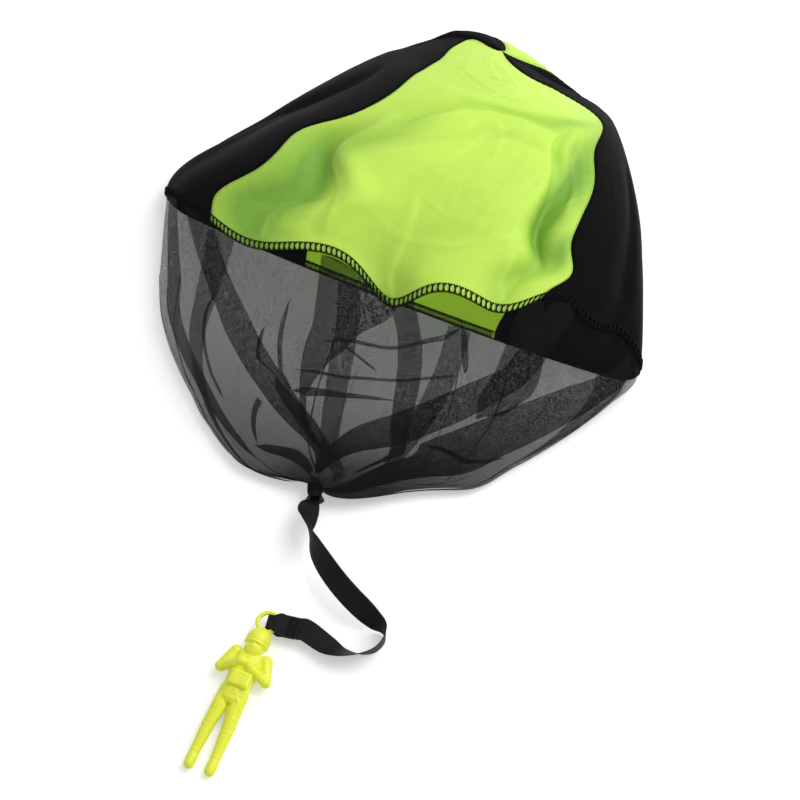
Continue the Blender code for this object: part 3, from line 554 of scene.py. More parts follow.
def thicken(piece, thickness):
    """Gives cloth its thickness to both sides."""
    solidify = piece.modifiers.new("Thickness", "SOLIDIFY")
    solidify.thickness, solidify.offset = thickness, 0.0
    return piece


def dress(piece, body, node):
    """Puts a piece on its body in place of its solid."""
    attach(piece, body)
    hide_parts(node)
    return piece


def clamped(value):
    """A socket's value, held between 0 and 1."""
    return value.math("MINIMUM", value.math("MAXIMUM", value, 0.0), 1.0)


def ridges(value):
    """The size of a value's sine: rounded backs with sharp valleys between."""
    return value.math("ABSOLUTE", value.math("SINE", value))


def carried(flow, name):
    """A value that the mesh carries at its points."""
    return flow.node("Attribute", {"attribute_name": name}, output="Fac")


def cloth_places(flow):
    """Places across and down a cloth in metres, from its UV map."""
    place = flow.node("UVMap", {"uv_map": "Cloth"})
    return [flow.node("SeparateXYZ", inputs={0: place}, output=axis) for axis in "XY"]


def noise(flow, scale, detail):
    """Noise from 0 to 1 over the object's own coordinates."""
    inputs = {"Vector": flow.node("TexCoord", output="Object"), "Scale": scale, "Detail": detail}
    return flow.node("TexNoise", inputs=inputs, output="Fac")


def mix(share, first, second, **settings):
    """The colour that lies this share of the way from the first to the second."""
    inputs = {"Factor": share, 6: first, 7: second}
    return share.node("Mix", {"data_type": "RGBA", **settings}, inputs, output=2)


def bump(height, strength, distance):
    """A normal that follows this height."""
    inputs = {"Strength": strength, "Distance": distance, "Height": height}
    return height.node("Bump", inputs=inputs, output="Normal")


def weave(flow, pitch):
    """Height of a plain weave: the threads' rounded backs, turn about over and under."""
    across, down = (place * (math.pi / pitch) for place in cloth_places(flow))
    over = flow.math("SIGN", flow.math("SINE", across) * flow.math("SINE", down)) * 0.5 + 0.5
    return ridges(across) * over + ridges(down) * (1.0 - over)


def nylon(name, lit_colour, shade_colour, roughness, gloss, glow):
    """Thin plain-woven nylon: painted shade deeper in its valleys and a painted glow where light
    comes through, with threads, slubs and a seam's stitches.
    """
    material, flow = new_finish(
        name, Roughness=roughness, Specular_IOR_Level=gloss, Emission_Strength=glow
    )
    # Painted glow: the bottom gore glows as if lit through the top gore.
    glow_colour = mix(carried(flow, "painted_glow"), (0.0, 0.0, 0.0, 1.0), LIME_LIT_THROUGH)
    clouds, streaks = noise(flow, 22.0, 3.0), noise(flow, 240.0, 2.0)
    # Painted shade: the fold tone darkens the cloth in the valleys of its folds and creases.
    tone = carried(flow, "fold") + (clouds - 0.5) * 0.25 + (streaks - 0.5) * 0.15
    colour = mix(clamped(tone), shade_colour, lit_colour)
    dash = flow.math("FRACT", cloth_places(flow)[1] * (1 / SEAM_STITCH_PITCH))
    dash = flow.math("GREATER_THAN", dash, 1 - SEAM_STITCH_SHARE)
    off_line = flow.math("ABSOLUTE", carried(flow, "seam") - SEAM_STITCH_INSET)
    line = flow.math("LESS_THAN", off_line, SEAM_STITCH_HALF_WIDTH) * dash
    shade = mix(line * 0.75, colour, SEAM_THREAD_TINT, blend_type="MULTIPLY")
    height = weave(flow, WEAVE_PITCH) * 0.5 + streaks * 0.35 + line * 1.2
    flow.into(Base_Color=shade, Emission_Color=glow_colour, Normal=bump(height, 0.55, 0.00008))
    return material


def gore(side, panel, columns, finish, creases):
    """One gore from the apex to the lower edge of its hem, with its folds, creases and puckers."""
    share = np.linspace(0, 1, columns + 1)[None, :]
    station = np.concatenate([np.linspace(0, 1, GORE_ROWS + 1) ** 1.25 * HEM, [HEM, HEM]])
    extra = np.concatenate([np.zeros(GORE_ROWS + 1), [HEM_WIDTH / 4, HEM_WIDTH / 2]])[:, None]
    station = np.maximum(station, 0.02)[:, None]
    turn = panel + share + 0 * station
    turn = np.clip(turn, panel + 1e-6, panel + 1 - 1e-6)
    along = down_from(turn, station + 0 * turn, extra)
    points = bag(turn, along)
    across, down = lengths(points, 1), lengths(points, 0)
    normals = -unit_normals(points)
    normals *= np.sign((normals * bag_normal(turn, along)).sum(-1, keepdims=True))
    edge = np.minimum(across, across[:, -1:] - across)
    random = np.random.default_rng(GORE_SEED + panel)
    height = wrinkles(points, normals, random, WRINKLES_A_GORE, GORE_WRINKLE_HEIGHTS)
    for route, width, depth in creases:
        route = np.array(route)
        path = bag(panel + route[:, 0], route[:, 1])
        height = height + crease_height(points, normals, path, width / 1000, depth / 1000)
    height *= np.clip(edge / SEAM_ALLOWANCE, 0, 1)
    height -= SEAM_DIP * bell(edge / SEAM_DIP_WIDTH)
    puckers = np.sin(2 * math.pi * down / PUCKER_PITCH)
    height += PUCKER_HEIGHT * puckers * bell((edge - PUCKER_INSET) / PUCKER_INSET)
    # Painted shade: the tone falls in valleys and in the places listed in TOP_SHADES, and is
    # carried as fold.
    shaded = sum(
        depth * bell((turn - at) / spread) * bell((along - down_at) / reach)
        for at, spread, down_at, reach, depth in TOP_SHADES
    )
    tone = FLAT_TONE + height / CREASE_TONE_HEIGHT + fold_push(turn, along) / FOLD_TONE_HEIGHT
    # Painted glow only on the bottom gore, rising from station 1.5 to 3.
    values = {
        "fold": np.clip(tone - shaded, 0, 1),
        "seam": edge,
        "painted_glow": ramp((along - 1.5) / 1.5) * (side == "bottom"),
    }
    points = points + normals * height[..., None]
    points[..., 2] = np.maximum(points[..., 2], NYLON_THICKNESS / 2)
    across = across - across[:, columns // 2][:, None]
    piece = add_piece("gore_" + side, points, finish, across, down, attributes=values)
    slot = "lime_nylon" if side in ("top", "bottom") else "black_nylon"
    return dress(thicken(piece, NYLON_THICKNESS), "canopy", "canopy_gore_" + side)


lime_nylon = nylon(
    "Lime nylon", LIME_LIGHT, LIME_SHADE, roughness=0.45, gloss=0.2, glow=LIT_THROUGH_LEVEL
)
black_nylon = nylon(
    "Black nylon", NYLON_BLACK_LIT, NYLON_BLACK_SHADE, roughness=0.60, gloss=0.025, glow=0.0
)
sides = ("top", "right", "bottom", "left")
gores = []
for panel, side in enumerate(sides):
    columns = TOP_GORE_COLUMNS if side == "top" else GORE_COLUMNS
    creases = TOP_CREASES if side == "top" else ()
    cloth = lime_nylon if side in ("top", "bottom") else black_nylon
    gores.append(gore(side, panel, columns, cloth, creases))


# Hem. An overlock seam joins canopy and skirt: two threads cross over the cut edge and a looper
# thread runs along each side of the band.
HEM_STEPS = 600
STITCH_PITCH = 0.0033
STITCH_STEPS = 16
OVERLOCK_RADIUS = 0.00042
LOOPER_RADIUS = 0.00040
LOOPER_SWAY = 0.0002
LOOPER_LIFT = 0.0003
PLY_PITCH = 0.0006
# Thread colours: painted shade between the plies and a painted highlight on their backs, for green
# and for black thread.
THREAD_GREEN_SHADE = (0.004, 0.009, 0.004, 1.0)
THREAD_GREEN = (0.014, 0.032, 0.011, 1.0)
THREAD_BLACK = (0.003, 0.003, 0.003, 1.0)
THREAD_BLACK_HIGHLIGHT = (0.009, 0.009, 0.010, 1.0)


def tube(name, path, reference, radius, finish, around=6):
    """A round thread along a path: circles square to the path, turned by a reference vector."""
    tangent = unit(np.gradient(path, axis=0))
    first = unit(np.cross(tangent, reference))[:, None]
    second = np.cross(tangent, first[:, 0])[:, None]
    angle = np.linspace(0, 2 * math.pi, around, endpoint=False)[None, :, None]
    size = np.broadcast_to(np.asarray(radius, float), (len(path),))[:, None, None]
    rings = path[:, None] + size * (np.cos(angle) * first + np.sin(angle) * second)
    ends = [np.repeat(path[[end], None], around, 1) for end in (0, -1)]
    points = np.concatenate([ends[0], rings, ends[1]])
    run = lengths(path, 0)
    down = np.repeat(np.concatenate([run[:1], run, run[-1:]])[:, None], around, 1)
    girth = 2 * math.pi * float(np.max(size))
    across = np.repeat(np.linspace(0, 1, around)[None, :] * girth, len(down), 0)
    piece = add_piece(name, points, finish, across, down, closed=True)
    work = bmesh.new()
    work.from_mesh(piece.data)
    bmesh.ops.remove_doubles(work, verts=work.verts, dist=1e-7)
    bmesh.ops.recalc_face_normals(work, faces=work.faces)
    work.to_mesh(piece.data)
    work.free()
    piece.data.shade_smooth()
    return piece


def join(name, pieces):
    """Makes one piece of several."""
    bpy.ops.object.select_all(action="DESELECT")
    for piece in pieces:
        piece.select_set(True)
    bpy.context.view_layer.objects.active = pieces[0]
    bpy.ops.object.join()
    pieces[0].name = pieces[0].data.name = name
    return pieces[0]


def twisted_thread(name, lit_colour, shade_colour):
    """Spun thread: plies that wind round it, with a painted highlight on their backs and painted
    shade between them.
    """
    material, flow = new_finish(name, Roughness=0.8, Specular_IOR_Level=0.07)
    across, down = cloth_places(flow)
    # The plies' rounded backs give the bump, and also the painted highlight on their backs with
    # painted shade between.
    plies = ridges((down + across * 0.5) * (math.pi / PLY_PITCH))
    flow.into(Base_Color=mix(plies, shade_colour, lit_colour), Normal=bump(plies, 0.8, 0.00012))
    return material


def overlock(side, panel, finish):
    """The threads of one hem: two opposite windings round the band, and a looper at each side."""
    even = np.linspace(panel, panel + 1, HEM_STEPS)
    run = lengths(bag(even, np.full(HEM_STEPS, HEM)), 0)
    stitches = int(round(run[-1] / STITCH_PITCH))
    phase = np.linspace(0, 2 * math.pi * stitches, STITCH_STEPS * stitches + 1)
    turn = np.interp(phase / phase[-1] * run[-1], run, even)
    turn = np.clip(turn, panel + 1e-6, panel + 1 - 1e-6)
    centre = np.full(len(turn), HEM)
    hem_way = np.gradient(bag(turn, centre), axis=0)
    lift = HEM_THICKNESS / 2 + OVERLOCK_RADIUS * 0.7
    threads = []
    for hand in (1, -1):
        reach = hand * (HEM_WIDTH / 2) * np.clip(1.25 * np.cos(phase), -1, 1)
        height = lift * np.clip(1.6 * np.sin(phase), -1, 1) * (1.0 if hand > 0 else 1.12)
        along = down_from(turn, centre, reach)
        path = bag(turn, along, HEM_THICKNESS) + bag_normal(turn, along) * height[:, None]
        path[:, 2] = np.maximum(path[:, 2], OVERLOCK_RADIUS)
        threads.append(tube("winding", path, hem_way, OVERLOCK_RADIUS, finish))
    for edge in (-1, 1):
        reach = edge * (HEM_WIDTH / 2 + LOOPER_RADIUS) + LOOPER_SWAY * np.sin(2 * phase)
        along = down_from(turn, centre, reach)
        normals = bag_normal(turn, along)
        height = LOOPER_LIFT * np.cos(2 * phase)
        path = bag(turn, along, HEM_THICKNESS) + normals * height[:, None]
        path[:, 2] = np.maximum(path[:, 2], LOOPER_RADIUS)
        threads.append(tube("looper", path, normals, LOOPER_RADIUS, finish))
    return dress(join("overlock_" + side, threads), "canopy", "hem_" + side)


green_thread = twisted_thread("Green overlock thread", THREAD_GREEN, THREAD_GREEN_SHADE)
black_thread = twisted_thread("Black thread", THREAD_BLACK_HIGHLIGHT, THREAD_BLACK)
overlocks = [
    overlock(side, panel, green_thread if side in ("top", "bottom") else black_thread)
    for panel, side in enumerate(sides)
]


# Skirt. Four panels of fine black net are sewn to the hem and gathered into the neck, with fine
# pleats and broad flat folds. Where layers lie on each other the net looks darker.
NET_CELL = 0.00080
NET_COVER = 0.41
NET_UNEVEN = 0.45
NET_THREAD_EDGE = 0.03
NET_CLOTH_WIDTH = 0.190
NET_ROWS, NET_COLUMNS = 200, 260
NET_SEED = 40
NET_WRINKLES = 26
NET_WRINKLE_HEIGHTS = (0.0002, 0.0009)
NET_TUCK = 0.0004
NET_LOWEST = 0.0001
PLEAT_LIFT = 0.0008
FOLD_LIFT = 0.0005
FOLD_CLEARANCE = 0.0004
FOLD_ROWS, FOLD_COLUMNS = 90, 12
# Shares of a fold's length: over the first an end between hem and neck narrows to a point, over
# the second any other end does, and over the third both ends sink to the skirt.
FOLD_TIP = 0.16
FOLD_SEWN_TIP = 0.01
FOLD_SINK = 0.08
FOLD_LEAST_WIDTH_SHARE = 0.04
# Where the net by the neck lies slack: turn, its spread, station, its spread and reach in metres.
NET_SLACK = (1.40, 0.55, 7.70, 0.30, 0.009)
NECK_COVER = 0.93
SEEDED_PLEATS = 22
PLEAT_SEED = 5
# The front lies in the folds listed below, so the seeded pleats hardly show there.
FRONT_STRENGTH = 0.4
NET_THREAD = (0.0040, 0.0040, 0.0045, 1.0)
NET_THREAD_LIGHT = (0.0085, 0.0085, 0.0090, 1.0)
# Flat folds, broad ones and some so narrow that they show as lines: the panel they are joined to,
# then places (turn, station) down both edges.
NET_FOLDS = (
    (0, ((-0.12, 4.03), (0.075, 5.0), (0.13, 5.66), (0.24, 6.65), (0.26, 7.7)),
        ((0.02, 4.03), (0.19, 4.95), (0.27, 5.56), (0.325, 5.98), (0.31, 7.6))),
    (0, ((0.40, 4.03), (0.39, 4.96), (0.325, 5.79), (0.275, 6.65), (0.33, 7.6)),
        ((0.62, 4.03), (0.49, 5.15), (0.35, 5.80), (0.30, 6.65), (0.35, 7.6))),
    (0, ((0.60, 4.03), (0.62, 4.5), (0.65, 5.62), (0.705, 6.82), (0.80, 7.5)),
        ((0.66, 4.03), (0.68, 4.5), (0.72, 5.53), (0.755, 6.27), (0.84, 7.5))),
    (0, ((1.03, 4.03), (0.93, 4.95), (0.80, 5.40), (0.66, 5.88), (0.38, 6.87), (0.33, 7.6)),
        ((1.09, 4.03), (1.01, 5.20), (0.92, 5.75), (0.80, 6.31), (0.505, 7.3), (0.42, 7.7))),
    (1, ((1.34, 4.05), (1.005, 5.58), (0.83, 6.40), (0.88, 7.30), (1.02, 7.90)),
        ((1.38, 4.6), (1.28, 5.95), (1.25, 6.8), (1.22, 7.45), (1.10, 7.90))),
    (3, ((-0.255, 4.03), (-0.205, 4.88), (-0.24, 5.61), (-0.28, 6.52)),
        ((-0.17, 4.03), (-0.10, 4.86), (-0.12, 5.75), (-0.215, 7.39))),
    (0, ((0.95, 4.03), (0.915, 4.77), (0.895, 5.65)), ((1.01, 4.03), (1.05, 5.27), (1.02, 5.75))),
    (0, ((0.195, 5.45), (0.26, 6.2), (0.29, 7.0), (0.31, 7.7)),
        ((0.30, 5.78), (0.36, 6.3), (0.37, 7.0), (0.38, 7.6))),
    (0, ((-0.14, 6.75), (0.0, 7.3), (0.10, 7.7)), ((-0.12, 6.70), (0.12, 7.0), (0.22, 7.6))),
    (0, ((0.42, 5.12), (0.575, 4.89), (0.745, 4.64), (0.80, 4.44)),
        ((0.42, 5.15), (0.575, 4.95), (0.745, 4.72), (0.80, 4.50))),
    (0, ((0.32, 5.48), (0.49, 5.50), (0.66, 5.33), (0.825, 5.11)),
        ((0.32, 5.52), (0.49, 5.545), (0.66, 5.37), (0.825, 5.14))),
    (0, ((0.30, 5.70), (0.49, 5.73), (0.665, 5.63)), ((0.29, 5.86), (0.49, 5.81), (0.665, 5.66))),
    (0, ((0.79, 4.46), (0.80, 4.80), (0.82, 5.12)), ((0.805, 4.46), (0.82, 4.80), (0.835, 5.12))),
    (0, ((0.83, 6.36), (1.11, 6.48), (1.33, 6.05)), ((0.84, 6.46), (1.11, 6.62), (1.33, 6.15))),
    (0, ((0.05, 5.69), (0.12, 6.0), (-0.10, 6.75)), ((0.06, 5.75), (0.135, 6.06), (-0.09, 6.80))),
    (0, ((0.31, 4.62), (0.285, 5.17), (0.265, 5.56), (0.29, 5.80)),
        ((0.322, 4.62), (0.30, 5.17), (0.282, 5.56), (0.305, 5.80))),
    (0, ((0.07, 4.70), (-0.07, 5.75), (-0.085, 6.07)),
        ((0.082, 4.70), (-0.055, 5.75), (-0.07, 6.07))),
    (0, ((0.235, 5.03), (0.19, 5.45), (0.285, 5.71)), ((0.25, 5.03), (0.205, 5.45), (0.295, 5.71))),
    (0, ((0.485, 5.09), (0.535, 5.19), (0.585, 5.29)),
        ((0.485, 5.13), (0.535, 5.23), (0.585, 5.33))),
    (1, ((1.62, 4.03), (1.60, 5.2), (1.55, 6.6), (1.50, 7.7)),
        ((1.74, 4.03), (1.70, 5.2), (1.62, 6.6), (1.56, 7.7))),
    (2, ((2.12, 4.03), (2.20, 5.4), (2.32, 6.8), (2.36, 7.7)),
        ((2.24, 4.03), (2.31, 5.4), (2.38, 6.8), (2.41, 7.7))),
    (2, ((2.70, 4.03), (2.62, 5.4), (2.55, 7.4)), ((2.82, 4.03), (2.72, 5.4), (2.62, 7.4))),
    (3, ((3.20, 4.03), (3.26, 5.3), (3.34, 6.6), (3.40, 7.7)),
        ((3.30, 4.03), (3.33, 5.3), (3.38, 6.6), (3.43, 7.7))),
)


def pleat_shift(apart, strength):
    """Shift of the cloth in half widths, and its layer from 0 to 1, by the distance from a pleat.

    The shift is the strength times s times e to the minus half of s squared. At a strength over
    1 the cloth turns back on itself and three layers lie on each other.
    """
    return strength * apart * np.exp(-(apart**2) / 2), 0.5 + 0.5 * np.tanh(1.4 * apart)


def pleats():
    """Narrow seeded pleats, as rows of hem turn, neck turn, half width and strength."""
    random = np.random.default_rng(PLEAT_SEED)
    hem_turns = np.arange(SEEDED_PLEATS) + random.uniform(-0.35, 0.35, SEEDED_PLEATS)
    hem_turns = hem_turns * 4 / SEEDED_PLEATS
    neck_turns = hem_turns + random.uniform(-0.10, 0.10, SEEDED_PLEATS)
    widths = random.uniform(0.012, 0.030, SEEDED_PLEATS)
    strengths = random.uniform(0.8, 1.6, SEEDED_PLEATS)
    strengths[(hem_turns > 0.0) & (hem_turns < 1.15)] = FRONT_STRENGTH
    return np.stack([hem_turns, neck_turns, widths, strengths], 1)


def skirt(turn, along):
    """The net's turn after the narrow pleats, and the lift of its layers."""
    down = (along - HEM) / (NECK - HEM)
    fade = ramp((along - HEM - 0.10) / 0.7) * ramp((NECK + 0.3 - along) / 0.8)
    shift, lift = np.zeros_like(turn), np.zeros_like(turn)
    for hem_turn, neck_turn, width, strength in pleats():
        centre = hem_turn + (neck_turn - hem_turn) * np.clip(down, 0, 1)
        wide = width * (1.0 + 0.5 * np.sin(3.0 * down + 9.0 * hem_turn))
        apart = turn_apart(turn, centre) / wide
        moved, layer = pleat_shift(apart, strength * fade)
        shift -= moved * wide
        lift += layer * bell(apart / 3.5) * fade
    return turn + shift, PLEAT_LIFT * lift


def gathering(along):
    """Cover by the extra layers of gathered cloth: its width over the skirt's girth, less one."""
    stations = np.linspace(HEM, TUFT, 41)
    turns = np.linspace(0, 4, 121)[None, :]
    rings = bag(turns + 0 * stations[:, None], stations[:, None] + 0 * turns)
    girth = np.linalg.norm(np.diff(rings, axis=1), axis=-1).sum(1)
    layers = np.clip(4 * NET_CLOTH_WIDTH / np.interp(along, stations, girth) - 1, 0, 5)
    cover = 1 - (1 - NET_COVER) ** (0.5 * layers)
    return np.maximum(cover, NECK_COVER * ramp((along - NECK + 0.35) / 0.35))


def net_place(turn, along):
    """The skirt's place on the bag, with its slack part drawn towards the front."""
    at, spread, station, reach, slack = NET_SLACK
    points = bag(turn, along)
    points[..., 1] -= slack * bell(turn_apart(turn, at) / spread) * bell((along - station) / reach)
    return points


def net_fold(name, left, right, finish):
    """A broad fold: two more layers of the net between its edges, joined along both of them.

    The places across it are even shares of the way from one edge to the other, there on the
    upper layer and back on the lower, and both sink to the skirt at the fold's ends. Folded over,
    the net lies at 45 degrees to the skirt's.
    """
    at = np.linspace(0, 1, FOLD_ROWS + 1)

    def evenly(edge):
        """Places at even shares of the way along an edge, straight between its corners."""
        corners = np.array(edge).T
        reach = at * (len(edge) - 1)
        return np.stack([np.interp(reach, np.arange(len(edge)), values) for values in corners], -1)

    left, right = evenly(left), evenly(right)
    share = np.linspace(0, 1, FOLD_COLUMNS + 1)
    share = np.concatenate([share, share[::-1]])[None, :, None]
    level = np.repeat([2.0, 1.0], FOLD_COLUMNS + 1)[None, :] * FOLD_LIFT
    top = FOLD_TIP if left[0, 1] > HEM + 0.1 else FOLD_SEWN_TIP
    bottom = FOLD_TIP if left[-1, 1] < NECK - 0.8 else FOLD_SEWN_TIP
    tip = np.clip(np.minimum(at / top, (1 - at) / bottom), FOLD_LEAST_WIDTH_SHARE, 1)
    share = 0.5 + (share - 0.5) * tip[:, None, None]
    place = left[:, None, :] * (1 - share) + right[:, None, :] * share
    turn, along = place[..., 0], place[..., 1]
    sunk = ramp(at / FOLD_SINK) * ramp((1 - at) / FOLD_SINK)
    lift = level * sunk[:, None] + FOLD_CLEARANCE
    points = net_place(turn, along) + bag_normal(turn, along) * lift[..., None]
    points[..., 2] = np.maximum(points[..., 2], NET_LOWEST)
    across, down = lengths(points, 1), lengths(points, 0)
    across, down = (across - down) * math.sqrt(0.5), (across + down) * math.sqrt(0.5)
    values = {"gathered": gathering(along)}
    return add_piece(name, points, finish, across, down, closed=True, attributes=values)


def net_panel(side, panel, finish):
    """One panel of the skirt, from under the hem through the neck to the tuft's rim."""
    share = np.linspace(0, 1, NET_COLUMNS + 1)[None, :]
    station = np.linspace(HEM, TUFT, NET_ROWS + 1)[:, None] + 0 * share
    flat_turn = np.clip(panel + share + 0 * station, panel + 1e-6, panel + 1 - 1e-6)
    under = HEM_WIDTH * 0.35 * ramp((HEM + 0.3 - station) / 0.3)
    flat_along = down_from(flat_turn, station, under)
    turn, lift = skirt(flat_turn, flat_along)
    points, normals = net_place(turn, flat_along), bag_normal(turn, flat_along)
    tucked = NET_TUCK * ramp((HEM + 0.35 - station) / 0.25)
    inward = np.tanh(4 * (normals[..., 2] + 0.25))
    random = np.random.default_rng(NET_SEED + panel)
    height = wrinkles(points, normals, random, NET_WRINKLES, NET_WRINKLE_HEIGHTS)
    height *= ramp((station - HEM - 0.1) / 0.5) * ramp(NECK - station)
    points = points + normals * (lift * inward + height - tucked)[..., None]
    points[..., 2] = np.maximum(points[..., 2], NET_LOWEST)
    across = NET_CLOTH_WIDTH * (flat_turn - panel)
    down = lengths(bag(flat_turn, flat_along), 0)
    values = {"gathered": gathering(flat_along)}
    piece = add_piece("net_" + side, points, finish, across, down, attributes=values)
    owned = [edges for owner, *edges in NET_FOLDS if owner == panel]
    piece = join("net_" + side, [piece] + [net_fold("fold", *edges, finish) for edges in owned])
    return dress(piece, "canopy", "skirt_net_" + side)


def fine_net(name):
    """Hexagonal net: threads where a point is far from the middle of its cell, holes elsewhere.

    The cells' middles are those of two grids of rectangles, one shifted by half a rectangle.
    """
    material, flow = new_finish(name, Roughness=0.6, Specular_IOR_Level=0.07)
    across, down = (
        place * (1 / NET_CELL) + noise(flow, scale, 2.0) * (4 * NET_UNEVEN)
        for place, scale in zip(cloth_places(flow), (380.0, 430.0))
    )
    high = math.sqrt(3)

    def cell(value, size, start):
        """Distance from the middle of a rectangle of this size, counted from a start."""
        return flow.math("FRACT", (value - start) * (1 / size)) * size - size / 2

    first = cell(across, 1.0, 0.0), cell(down, high, 0.0)
    second = cell(across, 1.0, 0.5), cell(down, high, high / 2)
    far_first, far_second = (x * x + y * y for x, y in (first, second))
    pick = flow.math("LESS_THAN", far_first, far_second)
    x, y = (flow.math("ABSOLUTE", a * pick + b * (1.0 - pick)) for a, b in zip(first, second))
    out = flow.math("MAXIMUM", x, x * 0.5 + y * (high / 2))
    hole = 0.5 * math.sqrt(1 - NET_COVER)
    thread = clamped((out - hole) * (1 / NET_THREAD_EDGE) + 0.5)
    alpha = thread + carried(flow, "gathered") * (1.0 - thread)
    colour = mix(noise(flow, 60.0, 3.0), NET_THREAD, NET_THREAD_LIGHT)
    flow.into(Base_Color=colour, Alpha=alpha, Normal=bump(out, 0.6, 0.0001))
    return material


net_cloth = fine_net("Black net")
nets = [net_panel(side, panel, net_cloth) for panel, side in enumerate(sides)]


# Neck. Thread is wound tightly round the gathered skirt and the end of the ribbon.
WINDINGS = 8
BINDING_RADIUS = 0.00028
BINDING_REACH = 0.0048
BINDING_CLEARANCE = 0.0005


def neck_frame():
    """Centres of the neck and of the tuft's rim, and the neck's direction out of the skirt."""
    turns = np.array([1.5, 3.5])
    start, end, rim = (
        bag(turns, np.full(2, place)).mean(axis=0) for place in (NECK, NECK_END, TUFT)
    )
    return (start + end) / 2, rim, unit(end - start)


neck_centre, neck_rim, neck_way = neck_frame()
neck_side = np.cross(neck_way, (0, 0, 1))
wound = np.linspace(0, 2 * math.pi * WINDINGS, 28 * WINDINGS + 1)
# The winding isn't even: it sways to both sides and lifts a little, by two slow sines.
uneven = 0.00012 * np.sin(5.3 * wound / 7) + 0.00008 * np.sin(wound * 0.37 + 1)
binding_path = (
    neck_centre
    + np.outer(BINDING_REACH * (wound / wound[-1] - 0.5) + uneven, neck_way)
    + (NECK_RADIUS + BINDING_CLEARANCE + 0.5 * np.abs(uneven))[:, None]
    * (np.outer(np.cos(wound), neck_side) + np.outer(np.sin(wound), (0, 0, 1)))
)
binding = tube("neck_winding", binding_path, neck_way, BINDING_RADIUS, black_thread, around=8)
dress(binding, "canopy", "gather_binding")


# Ribbon. A flat woven ribbon is bunched into the neck, runs down in a loose bend on the table and
# comes back to the figure's ring, where it is folded round and sewn to itself.
RIBBON_WIDTH = 0.013
RIBBON_THICKNESS = 0.0005
RIBBON_COLUMNS = 12
ROOT_STEPS, EYE_STEPS, BOX_STITCH_STEPS = 40, 150, 420
RIBBON_GAP = 0.0003
RIBBON_EXIT_LENGTH = 0.0020
RIBBON_ROOT_LENGTH = 0.017
RIBBON_LEAD_LENGTH = 0.0040
RIBBON_SPREAD_LENGTH = 0.006
RING_RADIUS, RING_WIRE_RADIUS, RING_HEIGHT = 0.00575, 0.0014, 0.006
RING_X, RING_Y = -0.0732, -0.2578
FIGURE_TURN = math.radians(-22.5)
EYE_TURN = math.radians(8.9)
EYE_FOLD_WIDTH = 0.0078
EYE_CLEARANCE = 0.00035
EYE_THICKNESS = 0.0006
EYE_FOLD_REACH = 0.0015
EYE_LENGTH = 0.0115
EYE_TAIL_LENGTH = 0.0050
EYE_END_LENGTH = 0.0015
STITCH_RADIUS = 0.00020
STITCH_INSET = 0.0018
STITCH_END_INSET = 0.0005
STITCH_DIP = 0.00022
EYE_STITCH_PITCH = 0.0017
RIB_PITCH = 0.00070
RIBBON_THREAD_PITCH = 0.00035
RIBBON_EDGE = 0.0008
RIBBON_ROUTE = (
    (-0.0519, -0.1906, 0.0112),
    (-0.0520, -0.1979, 0.0138),
    (-0.0512, -0.2060, 0.0150),
    (-0.0471, -0.2174, 0.0165),
    (-0.0412, -0.2284, 0.0170),
    (-0.0344, -0.2381, 0.0160),
    (-0.0276, -0.2457, 0.0140),
    (-0.0209, -0.2520, 0.0115),
    (-0.0144, -0.2577, 0.0092),
    (-0.0095, -0.2616, 0.0077),
    (-0.0080, -0.2655, 0.0071),
    (-0.0099, -0.2706, 0.0070),
    (-0.0149, -0.2752, 0.0069),
    (-0.0231, -0.2770, 0.0066),
    (-0.0328, -0.2753, 0.0056),
    (-0.0410, -0.2706, 0.0050),
)
# Turn of its width about its own line at each place of the route.
RIBBON_TILT_DEGREES = (
    (180, 160, 128, 92, 58, 40, 33, 31, 36, 56) + (78, 88, 86, 79, 67, 44, 14, 0, 0)
)
# Ribbon black, and the lighter colour of its painted highlights and reflections.
RIBBON_BLACK = (0.0045, 0.0045, 0.0048, 1.0)
RIBBON_SHINE = (0.0210, 0.0210, 0.0220, 1.0)


def smooth(values, at):
    """Reads the Catmull-Rom curve through evenly spaced values at the places `at`."""
    values = np.asarray(values, float)
    values = np.concatenate([[2 * values[0] - values[1]], values, [2 * values[-1] - values[-2]]])
    first = np.clip(np.floor(at).astype(int), 0, len(values) - 4)
    share = at - first
    a, b, c, d = (values[first + step] for step in range(4))
    cubic = share * (2 * a - 5 * b + 4 * c - d + share * (3 * (b - c) + d - a))
    return b + 0.5 * share * (c - a + cubic)


def strip(centre, across, width):
    """A grid across a strip: its centre line plus even shares of its width to both sides."""
    share = np.linspace(-0.5, 0.5, RIBBON_COLUMNS + 1)[None, :, None]
    return centre[:, None, :] + across[:, None, :] * width[:, None, None] * share


def add_ribbon(name, points, finish, node):
    """A ribbon piece from a grid, which replaces a CAD node."""
    columns = points.shape[1]
    across = np.repeat(np.linspace(-0.5, 0.5, columns)[None, :], len(points), 0) * RIBBON_WIDTH
    down = np.repeat(lengths(points[:, columns // 2], 0)[:, None], columns, 1)
    piece = thicken(add_piece(name, points, finish, across, down), RIBBON_THICKNESS)
    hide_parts(node)
    return piece


